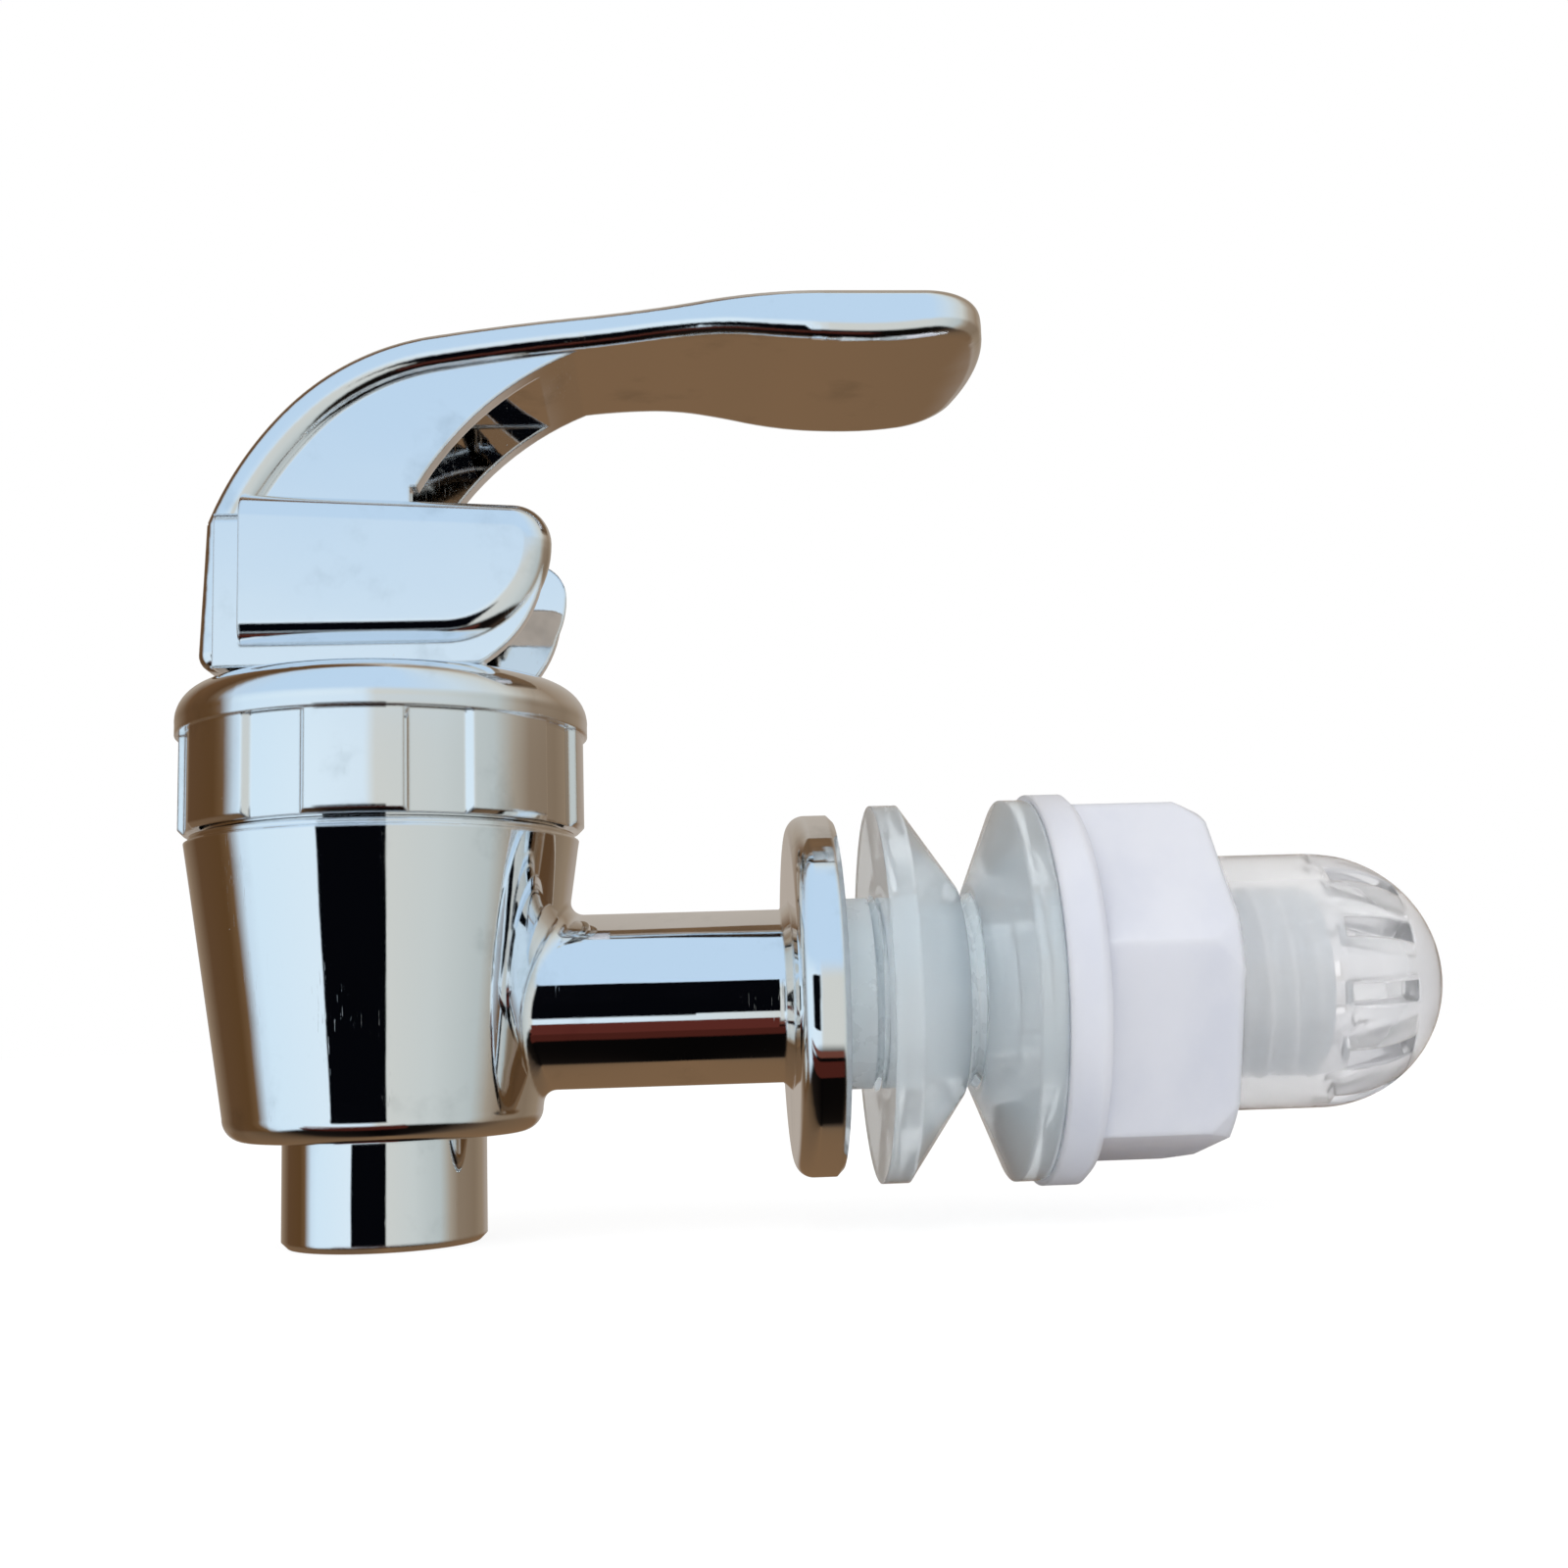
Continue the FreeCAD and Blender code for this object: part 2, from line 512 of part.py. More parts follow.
def make_nut():
    """Flanged nut: a round flange, a hexagon with its outer corners cut back and a bore."""
    body = new_body("shank_nut")
    start = "inner_washer_x + fit_gap"
    revolve(body, "nut_flange", "XZ_Plane", "H_Axis", [
        (start, "0"),
        (f"{start} + nut_flange_depth", "0"),
        (f"{start} + nut_flange_depth", "nut_flange_r - nut_flange_bevel"),
        (f"{start} + nut_flange_depth - nut_flange_bevel", "nut_flange_r"),
        (start, "nut_flange_r"),
    ])
    corner = "nut_across_flats / sqrt(3)"
    turns = [f"nut_turn_angle + 360 / {NUT_SIDES} * {step}" for step in range(NUT_SIDES)]
    hexagon = [(f"{corner} * sin({turn})", f"{corner} * cos({turn})") for turn in turns]
    extrude(body, "nut_hexagon", "YZ_Plane", [hexagon], length="nut_length",
            both=False, lift=start)
    end = f"{start} + nut_length"
    revolve(body, "nut_corners", "XZ_Plane", "H_Axis", [
        (f"{end} - nut_chamfer * 2", f"{corner} + cut_margin"),
        (f"{end} - nut_chamfer * 2", corner),
        (end, f"{corner} - nut_chamfer"),
        (f"{end} + cut_margin", f"{corner} - nut_chamfer"),
        (f"{end} + cut_margin", f"{corner} + cut_margin"),
    ], cut=True)
    revolve(body, "nut_bore", "XZ_Plane", "H_Axis", [
        (f"{start} - cut_margin", "0"),
        (f"{end} + cut_margin", "0"),
        (f"{end} + cut_margin", "thread_r + fit_gap"),
        (f"{start} - cut_margin", "thread_r + fit_gap"),
    ], cut=True)
    return body


def make_strainer():
    """Domed strainer cap with slots around the dome's shoulder."""
    body = new_body("strainer_cap")
    dome = "strainer_x + strainer_straight"
    bore = "thread_r + fit_gap"
    revolve(body, "strainer_shell", "XZ_Plane", "H_Axis", [
        ("strainer_x", bore),
        (dome, bore),
        (f"{dome} + dome_length - strainer_wall", "(strainer_r - strainer_wall) / 2"),
        (f"{dome} + dome_length - strainer_wall", "0"),
        (f"{dome} + dome_length", "0", "strainer_r"),
        (dome, "strainer_r"),
        ("strainer_x + strainer_rim_bevel", "strainer_r"),
        ("strainer_x", "strainer_r - strainer_rim_bevel"),
    ])
    slot = extrude(body, "slot", "XY_Plane", [[
        ("strainer_x + slot_start", "-slot_width / 2"),
        ("strainer_x + slot_start + slot_length", "-slot_width / 2"),
        ("strainer_x + slot_start + slot_length", "slot_width / 2"),
        ("strainer_x + slot_start", "slot_width / 2"),
    ]], cut=True, both=False, roll="slot_angle", flip=True)
    polar(body, "slots", slot, "X_Axis", "slot_count")
    return body


def make_collar():
    """Collar nut with a rounded shoulder and grip recesses."""
    body = new_body("collar_nut", upright=True)
    revolve(body, "collar_shell", "XZ_Plane", "V_Axis", [
        (f"{NECK_R} + loose_gap", "collar_foot_z"),
        ("collar_r - collar_step - collar_foot_bevel", "collar_foot_z"),
        ("collar_r - collar_step", "collar_foot_z + collar_foot_bevel"),
        ("collar_r - collar_step", "grip_top_z"),
        ("collar_r", "grip_top_z"),
        ("collar_r", "collar_top_z - collar_round_high", "(collar_round_high + collar_round_wide) / 2"),
        ("collar_r - collar_round_wide", "collar_top_z"),
        ("collar_hole_r", "collar_top_z"),
        ("collar_hole_r", "collar_top_z - collar_plate"),
        (f"{NECK_R} + loose_gap", "collar_top_z - collar_plate"),
    ])
    around = []
    for radius, angle in (
            ("collar_r + grip_depth", "grip_start - grip_slant"),
            ("collar_r + grip_depth", "grip_start + grip_angle + grip_slant"),
            ("collar_r - grip_depth", "grip_start + grip_angle - grip_slant"),
            ("collar_r - grip_depth", "grip_start + grip_slant")):
        around.append([f"({radius}) * sin({angle})", f"-({radius}) * cos({angle})"])
    around[2].append("-(collar_r - grip_depth)")
    grip = extrude(body, "grip", "XY_Plane", [around], length="grip_top_z - collar_foot_z + cut_margin",
                   cut=True, both=False, lift="collar_foot_z - cut_margin", flip=True)
    polar(body, "grips", grip, "Z_Axis", "grip_count")
    return body


def make_guide():
    """Disc that closes the barrel under the collar, guides the stem and holds the spring's upper end."""
    body = new_body("bonnet_guide", upright=True)
    foot = "neck_top_z - guide_plug_length"
    inner = "spring_r - wire_r - loose_gap"
    outer = "spring_r + wire_r + loose_gap"
    seal_top = "collar_top_z - collar_plate - fit_gap - stem_seal_cover"
    revolve(body, "guide_solid", "XZ_Plane", "V_Axis", [
        ("stem_r + fit_gap", foot),
        (inner, foot),
        (inner, f"{foot} + spring_pocket_depth"),
        (outer, f"{foot} + spring_pocket_depth"),
        (outer, foot),
        (f"{CHAMBER_R} - loose_gap", foot),
        (f"{CHAMBER_R} - loose_gap", "neck_top_z + gasket_depth + fit_gap"),
        (f"{NECK_R} - loose_gap", "neck_top_z + gasket_depth + fit_gap"),
        (f"{NECK_R} - loose_gap", "collar_top_z - collar_plate - fit_gap"),
        ("stem_r + fit_gap", "collar_top_z - collar_plate - fit_gap"),
        ("stem_r + fit_gap", seal_top),
        ("stem_r + fit_gap + stem_seal_width", seal_top),
        ("stem_r + fit_gap + stem_seal_width", f"{seal_top} - stem_seal_depth"),
        ("stem_r + fit_gap", f"{seal_top} - stem_seal_depth"),
    ])
    return body


def make_seals():
    """Gasket on the barrel's rim, seal round the stem and seal at the spigot's end."""
    gasket = new_body("body_gasket", upright=True)
    ring(gasket, "V_Axis", (f"{CHAMBER_R} + loose_gap", f"{CHAMBER_R} + loose_gap + gasket_width"),
         ("neck_top_z", "neck_top_z + gasket_depth"))
    stem_seal = new_body("stem_seal", upright=True)
    top = "collar_top_z - collar_plate - fit_gap - stem_seal_cover"
    ring(stem_seal, "V_Axis", ("stem_r + fit_gap", "stem_r + stem_seal_width"),
         (f"{top} - stem_seal_depth + fit_gap", f"{top} - fit_gap"))
    shank_seal = new_body("shank_seal")
    ring(shank_seal, "H_Axis", ("port_r + fit_gap", "spigot_r"),
         ("fit_gap - spigot_length - seal_depth", "-spigot_length"))
    return [gasket, stem_seal, shank_seal]


def make_stem():
    """Stem with the bulb that holds the cup, the spring's disc and the cross hole for the pin."""
    body = new_body("valve_stem", upright=True)
    bulb_top = "stem_foot_z + bulb_length"
    revolve(body, "stem_solid", "XZ_Plane", "V_Axis", [
        ("0", "stem_foot_z"),
        ("bulb_r", "stem_foot_z"),
        ("bulb_r", bulb_top),
        ("bulb_neck_r", bulb_top),
        ("bulb_neck_r", f"{bulb_top} + bulb_neck_length"),
        ("stem_r", f"{bulb_top} + bulb_neck_length"),
        ("stem_r", "stem_disc_z"),
        ("stem_disc_r", "stem_disc_z"),
        ("stem_disc_r", "stem_disc_z + stem_disc_depth"),
        ("stem_r", "stem_disc_z + stem_disc_depth"),
        ("stem_r", "stem_top_z - stem_chamfer"),
        ("stem_r - stem_chamfer", "stem_top_z"),
        ("0", "stem_top_z"),
    ])
    extrude(body, "cross_hole", "XZ_Plane", circle=("0", "pin_z", "pin_r"), cut=True)
    return body


def make_cup():
    """Silicone seat cup on the stem's bulb."""
    body = new_body("seat_cup", upright=True)
    seat = "chamber_floor_z + seat_height + fit_gap"
    bulb_top = "stem_foot_z + bulb_length"
    revolve(body, "cup_solid", "XZ_Plane", "V_Axis", [
        ("0", f"{seat} - cup_boss_depth"),
        ("cup_boss_r", f"{seat} - cup_boss_depth"),
        ("cup_boss_r", seat),
        ("cup_foot_r", seat),
        ("cup_foot_r", f"{seat} + cup_foot_depth"),
        ("cup_neck_r + cup_base_bevel", f"{seat} + cup_foot_depth"),
        ("cup_neck_r", f"{seat} + cup_foot_depth + cup_base_bevel"),
        ("cup_neck_r", f"{bulb_top} + bulb_neck_length - fit_gap"),
        ("bulb_neck_r + fit_gap", f"{bulb_top} + bulb_neck_length - fit_gap"),
        ("bulb_neck_r + fit_gap", f"{bulb_top} + fit_gap"),
        ("bulb_r + fit_gap", f"{bulb_top} + fit_gap"),
        ("bulb_r + fit_gap", "stem_foot_z - fit_gap"),
        ("0", "stem_foot_z - fit_gap"),
    ])
    return body


def make_spring():
    """Compression spring between the stem's disc and the guide."""
    body = new_body("return_spring", upright=True)
    low = "stem_disc_z + stem_disc_depth + wire_r"
    high = "neck_top_z - guide_plug_length + spring_pocket_depth - wire_r"
    sketch = new_sketch(body, "wire_outline", "XZ_Plane")
    turns = [f"360 / {WIRE_SIDES} * {step}" for step in range(WIRE_SIDES)]
    draw(sketch, [(f"spring_r + wire_r * cos({turn})", f"{low} + wire_r * sin({turn})") for turn in turns])
    coil = body.newObject("PartDesign::AdditiveHelix", "coil")
    coil.Profile = sketch
    coil.ReferenceAxis = (sketch, ["V_Axis"])
    coil.Mode = "height-turns-angle"
    coil.setExpression("Height", bound(f"({high}) - ({low})"))
    coil.setExpression("Turns", bound("spring_turns"))
    return body


def make_pin():
    """Hinge pin between stem and lever."""
    body = new_body("pivot_pin", upright=True)
    extrude(body, "pin_solid", "XZ_Plane", circle=("0", "pin_z", "pin_r"), length="2 * pin_half")
    return body


def follows_rim(point, edge):
    """Tell the long edges of the lever's plate from its creases and upright corners."""
    outside = abs(point.y) > value("paddle_neck_half") - EDGE_TOLERANCE or point.x > value(END_X)
    upright = abs(edge.tangentAt(edge.FirstParameter).z) > 1 - EDGE_TOLERANCE
    corner = upright and point.x > value("arm_knee_x + arm_plate") + EDGE_TOLERANCE
    return outside and not corner and point.z > value("hub_foot_z") + EDGE_TOLERANCE


def make_arm_blank():
    """Plate of the lever: it rises behind the hub, bends over and widens into the paddle."""
    body = new_body("arm_blank")
    extrude(body, "plate", "XZ_Plane", [[
        ("arm_back_x + arm_plate", "hub_foot_z"),
        ("arm_knee_x + arm_plate", "arm_knee_z", "inner_radius"),
        (*UNDER_BEND, "arm_plate - upper_radius"),
        (*UNDER_CROWN, "-under_radius"),
        (*THIN, "-turn_radius"),
        (*DIP, "-dip_radius"),
        (*BELLY, "-belly_radius"),
        UNDER_TIP,
        (*TIP, "end_radius"),
        (*HIGH, "back_radius"),
        (*CROWN, "upper_radius"),
        (*BEND, "-lower_radius"),
        ("arm_knee_x", "arm_knee_z"),
        ("arm_back_x", "hub_foot_z + arm_foot_round", "arm_foot_round"),
        ("arm_back_x + arm_foot_round", "hub_foot_z"),
    ]], length="2 * (paddle_half + cut_margin)")
    far_left = "arm_back_x - 2 * cut_margin"
    plan = [
        ("arm_back_x - cut_margin", "-arm_half", f"-{SIDE_R}"),
        ("paddle_neck_x", "-paddle_neck_half", f"-{FLARE_R}"),
        (FLARE_X, f"-{FLARE_HALF}", FLARE_R),
        ("paddle_wide_x", "-paddle_half"),
        ("paddle_corner_x", "-paddle_half", "paddle_corner_r"),
        (END_X, f"-{END_HALF}", f"{END_HALF} / sin(paddle_end_angle)"),
        (END_X, END_HALF, "paddle_corner_r"),
        ("paddle_corner_x", "paddle_half"),
        ("paddle_wide_x", "paddle_half", FLARE_R),
        (FLARE_X, FLARE_HALF, f"-{FLARE_R}"),
        ("paddle_neck_x", "paddle_neck_half", f"-{SIDE_R}"),
        ("arm_back_x - cut_margin", "arm_half"),
    ]
    frame = [
        (far_left, "-paddle_half - cut_margin"),
        ("paddle_tip_x + cut_margin", "-paddle_half - cut_margin"),
        ("paddle_tip_x + cut_margin", "paddle_half + cut_margin"),
        (far_left, "paddle_half + cut_margin"),
    ]
    blank = extrude(body, "plan", "XY_Plane", [frame, plan], cut=True)
    fillet(body, "rim", blank, follows_rim, "arm_edge_round")
    return body


def make_lever():
    """One-piece lever: the plate, two cheeks with the pin bosses, and hollow side walls under the arm."""
    blank = make_arm_blank()
    body = new_body("lever", upright=True)
    chin = f"({NOSE_Z} - cheek_foot_z)"
    block = extrude(body, "cheeks", "XZ_Plane", [[
        ("cheek_back_x", "cheek_foot_z"),
        (f"cheek_nose_x - {chin}", "cheek_foot_z", chin),
        ("cheek_nose_x", NOSE_Z, "cheek_nose_round"),
        (BROW_X, BROW_Z),
        ("cheek_back_x", "cheek_top_z"),
    ]], length="2 * hub_half")
    half = value("hub_half")
    back = value("cheek_back_x") + EDGE_TOLERANCE
    fillet(body, "cheek_edges", block, lambda point, edge: (
        abs(abs(point.y) - half) < EDGE_TOLERANCE and point.x > back), "cheek_round")
    extrude(body, "hub", "XZ_Plane", [[
        ("arm_back_x + arm_plate / 2", "hub_foot_z"),
        ("hub_chin_x", "hub_foot_z", "hub_chin_round"),
        ("cheek_nose_x - hub_inset", NOSE_Z, "cheek_nose_round"),
        (BROW_X, f"{BROW_Z} - hub_inset"),
        ("arm_back_x + arm_plate / 2", f"{BROW_Z} - hub_inset"),
    ]], length="2 * (hub_half - hub_step)")
    extrude(body, "webs", "XZ_Plane", [[
        ("arm_knee_x + arm_plate / 2", "arm_knee_z - 2 * cut_margin"),
        ("web_heel_x", "arm_knee_z - 2 * cut_margin"),
        ("web_heel_x", "web_heel_z", "-web_edge_r"),
        ("web_toe_x", "paddle_high_z - paddle_thin + arm_plate / 4"),
        ("arm_crown_x + arm_plate / 2 * upper_sine", "arm_crown_z - arm_plate / 2 * upper_cosine",
         "upper_radius - arm_plate / 2"),
        ("arm_bend_x + arm_plate / 2 * sin(arm_bend_angle)",
         "arm_bend_z - arm_plate / 2 * cos(arm_bend_angle)", "arm_plate / 2 - lower_radius"),
    ]], length="2 * web_half")
    joined = body.newObject("PartDesign::Boolean", "arm")
    joined.Type = "Fuse"
    joined.addObject(blank)
    body.Tip = joined
    post_side = "(arm_half - joint_line)"
    hub_side = "(hub_half - hub_step - joint_line)"
    split = "arm_back_x + arm_plate / 2"
    extrude(body, "joint", "XY_Plane", [[
        ("cheek_back_x", "-hub_half"),
        ("cheek_back_x", f"-{hub_side}"),
        (split, f"-{hub_side}"),
        (split, f"-{post_side}"),
        ("arm_knee_x + joint_line", f"-{post_side}"),
        ("arm_knee_x + joint_line", post_side),
        (split, post_side),
        (split, hub_side),
        ("cheek_back_x", hub_side),
        ("cheek_back_x", "hub_half"),
        ("arm_back_x - cut_margin", "hub_half"),
        ("arm_back_x - cut_margin", "-hub_half"),
    ]], length="joint_line", cut=True, lift="arm_knee_z")
    extrude(body, "hub_hollow", "XZ_Plane", [[
        ("arm_back_x + arm_plate", "hub_foot_z - cut_margin"),
        ("cheek_nose_x + cut_margin", "hub_foot_z - cut_margin"),
        ("cheek_nose_x + cut_margin", "cheek_top_z + cut_margin"),
        ("web_heel_x", "cheek_top_z + cut_margin"),
        ("web_heel_x", f"{BROW_Z} - hub_roof"),
        ("arm_knee_x + arm_plate", f"{BROW_Z} - hub_roof"),
    ]], length="2 * (hub_half - hub_wall)", cut=True)
    extrude(body, "arm_hollow", "XZ_Plane", [[
        ("arm_knee_x + arm_plate", "arm_knee_z - 2 * cut_margin"),
        ("web_toe_x + cut_margin", "arm_knee_z - 2 * cut_margin"),
        ("web_toe_x + cut_margin", "arm_crown_z - arm_plate"),
        (*UNDER_CROWN, "upper_radius - arm_plate"),
        (*UNDER_BEND, "-inner_radius"),
        ("arm_knee_x + arm_plate", "arm_knee_z"),
    ]], length="2 * (web_half - web_wall)", cut=True)
    extrude(body, "bosses", "XZ_Plane", circle=("0", "pin_z", "boss_r"), length="2 * (hub_half - hub_wall / 2)")
    extrude(body, "boss_gap", "XZ_Plane", circle=("0", "pin_z", "boss_r + cut_margin"),
            length="2 * boss_inner", cut=True)
    extrude(body, "pin_hole", "XZ_Plane", circle=("0", "pin_z", "pin_r + fit_gap"),
            length="2 * (pin_half + loose_gap)", cut=True)
    return body


def check_and_write(bodies):
    """Stop on a failed object or shape, then write every sub-part."""
    doc.recompute()
    for item in doc.Objects:
        if any(word in ("Invalid", "Error") for word in item.State):
            raise RuntimeError(f"{item.Name} failed: {item.State}")
    for body in bodies:
        if body.Shape.isNull() or not body.Shape.isValid():
            raise RuntimeError(f"{body.Name} has no valid shape")
    os.makedirs("parts", exist_ok=True)
    for body in bodies:
        box = body.Shape.BoundBox
        print(f"{body.Label}: {len(body.Shape.Solids)} solid, {body.Shape.Volume:.1f} mm3,"
              f" x {box.XMin:.2f}..{box.XMax:.2f}, y {box.YMin:.2f}..{box.YMax:.2f},"
              f" z {box.ZMin:.2f}..{box.ZMax:.2f}")
        body.Shape.exportStep(f"parts/{body.Label}.step")


work_out_arcs()
check_and_write([
    make_valve_body(),
    make_shank(),
    make_washer("outer_washer", "outer_washer_x", "+", "washer_length", "washer_r"),
    make_washer("inner_washer", "inner_washer_x", "-", "inner_washer_length", "inner_washer_r"),
    make_nut(),
    make_strainer(),
    make_collar(),
    make_guide(),
    make_stem(),
    make_cup(),
    make_spring(),
    make_pin(),
    make_lever(),
    *make_seals(),
])
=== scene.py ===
"""Beverage dispenser tap, dressed for its picture.

A chrome barrel with its collar and lever, on a translucent threaded shank with two cone
washers, a flanged nut and a slotted strainer cap. All places are in the row frame, in metres.
"""

import logging
import math
from dataclasses import dataclass
from enum import Enum

import bpy
from mathutils import Matrix, Vector

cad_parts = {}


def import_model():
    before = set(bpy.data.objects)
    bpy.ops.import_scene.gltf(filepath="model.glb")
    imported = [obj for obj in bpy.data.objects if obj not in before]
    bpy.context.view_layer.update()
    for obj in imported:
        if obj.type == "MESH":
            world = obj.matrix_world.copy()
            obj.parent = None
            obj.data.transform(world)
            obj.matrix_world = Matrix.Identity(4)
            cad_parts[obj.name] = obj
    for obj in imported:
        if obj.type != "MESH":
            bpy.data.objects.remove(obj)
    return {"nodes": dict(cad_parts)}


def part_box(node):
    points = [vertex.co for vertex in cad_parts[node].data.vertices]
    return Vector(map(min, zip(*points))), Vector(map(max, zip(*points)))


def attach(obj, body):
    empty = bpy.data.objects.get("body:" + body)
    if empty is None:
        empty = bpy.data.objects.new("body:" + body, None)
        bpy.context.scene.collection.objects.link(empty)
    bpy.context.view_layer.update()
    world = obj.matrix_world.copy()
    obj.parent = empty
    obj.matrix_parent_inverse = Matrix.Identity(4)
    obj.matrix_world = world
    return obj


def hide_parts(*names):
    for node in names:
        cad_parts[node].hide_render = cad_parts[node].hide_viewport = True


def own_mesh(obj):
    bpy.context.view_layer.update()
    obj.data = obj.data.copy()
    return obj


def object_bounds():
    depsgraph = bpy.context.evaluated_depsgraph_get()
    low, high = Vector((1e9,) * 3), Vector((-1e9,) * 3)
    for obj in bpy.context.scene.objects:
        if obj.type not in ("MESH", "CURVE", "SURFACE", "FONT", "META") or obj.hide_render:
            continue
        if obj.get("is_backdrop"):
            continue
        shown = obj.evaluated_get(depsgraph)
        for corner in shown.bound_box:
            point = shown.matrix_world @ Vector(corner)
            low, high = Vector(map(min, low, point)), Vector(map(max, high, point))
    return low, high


MM = 0.001
MM_PER_METRE = 1000
LOG = logging.getLogger("dispenser_tap")


class Axis(Enum):
    """Row axis that a piece is turned about."""

    ALONG = (1.0, 0.0, 0.0)
    UPRIGHT = (0.0, 0.0, 1.0)


class Join(Enum):
    """How one solid is worked into another."""

    ADD = "UNION"
    CUT = "DIFFERENCE"
    KEEP_COMMON = "INTERSECT"


def linear(colour: str) -> tuple[float, float, float, float]:
    """Turn an sRGB hex colour into linear values.

    Args:
        colour: six hex digits with a leading #.

    Returns:
        Linear red, green, blue and an alpha of 1.
    """
    parts = [int(colour[place:place + 2], 16) / 255 for place in (1, 3, 5)]
    red, green, blue = (part / 12.92 if part <= 0.04045 else ((part + 0.055) / 1.055) ** 2.4
                        for part in parts)
    return red, green, blue, 1.0


def per_metre(size_mm: float) -> float:
    """Return the pattern scale that gives features of this size in millimetres."""
    return MM_PER_METRE / size_mm


def add_node(tree: bpy.types.NodeTree, kind: str, settings: dict | None = None,
             links: dict | None = None) -> bpy.types.Node:
    """Add one shader node with its settings and links.

    Args:
        tree: node tree that takes the node.
        kind: the node's type name.
        settings: values by property name, or by input name or number.
        links: output sockets by input name or number.

    Returns:
        The new node.
    """
    node = tree.nodes.new(kind)
    for key, value in (settings or {}).items():
        if isinstance(key, str) and hasattr(node, key):
            setattr(node, key, value)
        else:
            node.inputs[key].default_value = value
    for key, socket in (links or {}).items():
        tree.links.new(socket, node.inputs[key])
    return node


def add_ramp(tree: bpy.types.NodeTree, factor: bpy.types.NodeSocket,
             stops: list[tuple[float, str]]) -> bpy.types.NodeSocket:
    """Add a colour ramp.

    Args:
        tree: node tree that takes the ramp.
        factor: socket that is looked up.
        stops: pairs of position, from 0 to 1, and sRGB hex colour.

    Returns:
        The ramp's colour socket.
    """
    node = add_node(tree, "ShaderNodeValToRGB", links={0: factor})
    elements = node.color_ramp.elements
    while len(elements) < len(stops):
        elements.new(1.0)
    for element, (position, colour) in zip(elements, stops):
        element.position = position
        element.color = linear(colour)
    return node.outputs[0]


def add_steps(tree: bpy.types.NodeTree, value: bpy.types.NodeSocket, start: float, end: float,
              low: float = 0.0, high: float = 1.0) -> bpy.types.NodeSocket:
    """Map a value smoothly from one range to another.

    Args:
        tree: node tree that takes the node.
        value: socket that is mapped.
        start: value that gives low.
        end: value that gives high.
        low: result up to start.
        high: result from end on.

    Returns:
        The mapped socket.
    """
    settings = {"interpolation_type": "SMOOTHSTEP", "From Min": start, "From Max": end,
                "To Min": low, "To Max": high}
    return add_node(tree, "ShaderNodeMapRange", settings, {"Value": value}).outputs[0]


def add_sum(tree: bpy.types.NodeTree, first: bpy.types.NodeSocket, second: bpy.types.NodeSocket | float,
            operation: str = "ADD") -> bpy.types.NodeSocket:
    """Work out one sum on two values.

    Args:
        tree: node tree that takes the node.
        first: first value.
        second: second value, a socket or a number.
        operation: the Math node's operation.

    Returns:
        The result socket.
    """
    node = add_node(tree, "ShaderNodeMath", {"operation": operation}, {0: first})
    if isinstance(second, (int, float)):
        node.inputs[1].default_value = second
    else:
        tree.links.new(second, node.inputs[1])
    return node.outputs[0]


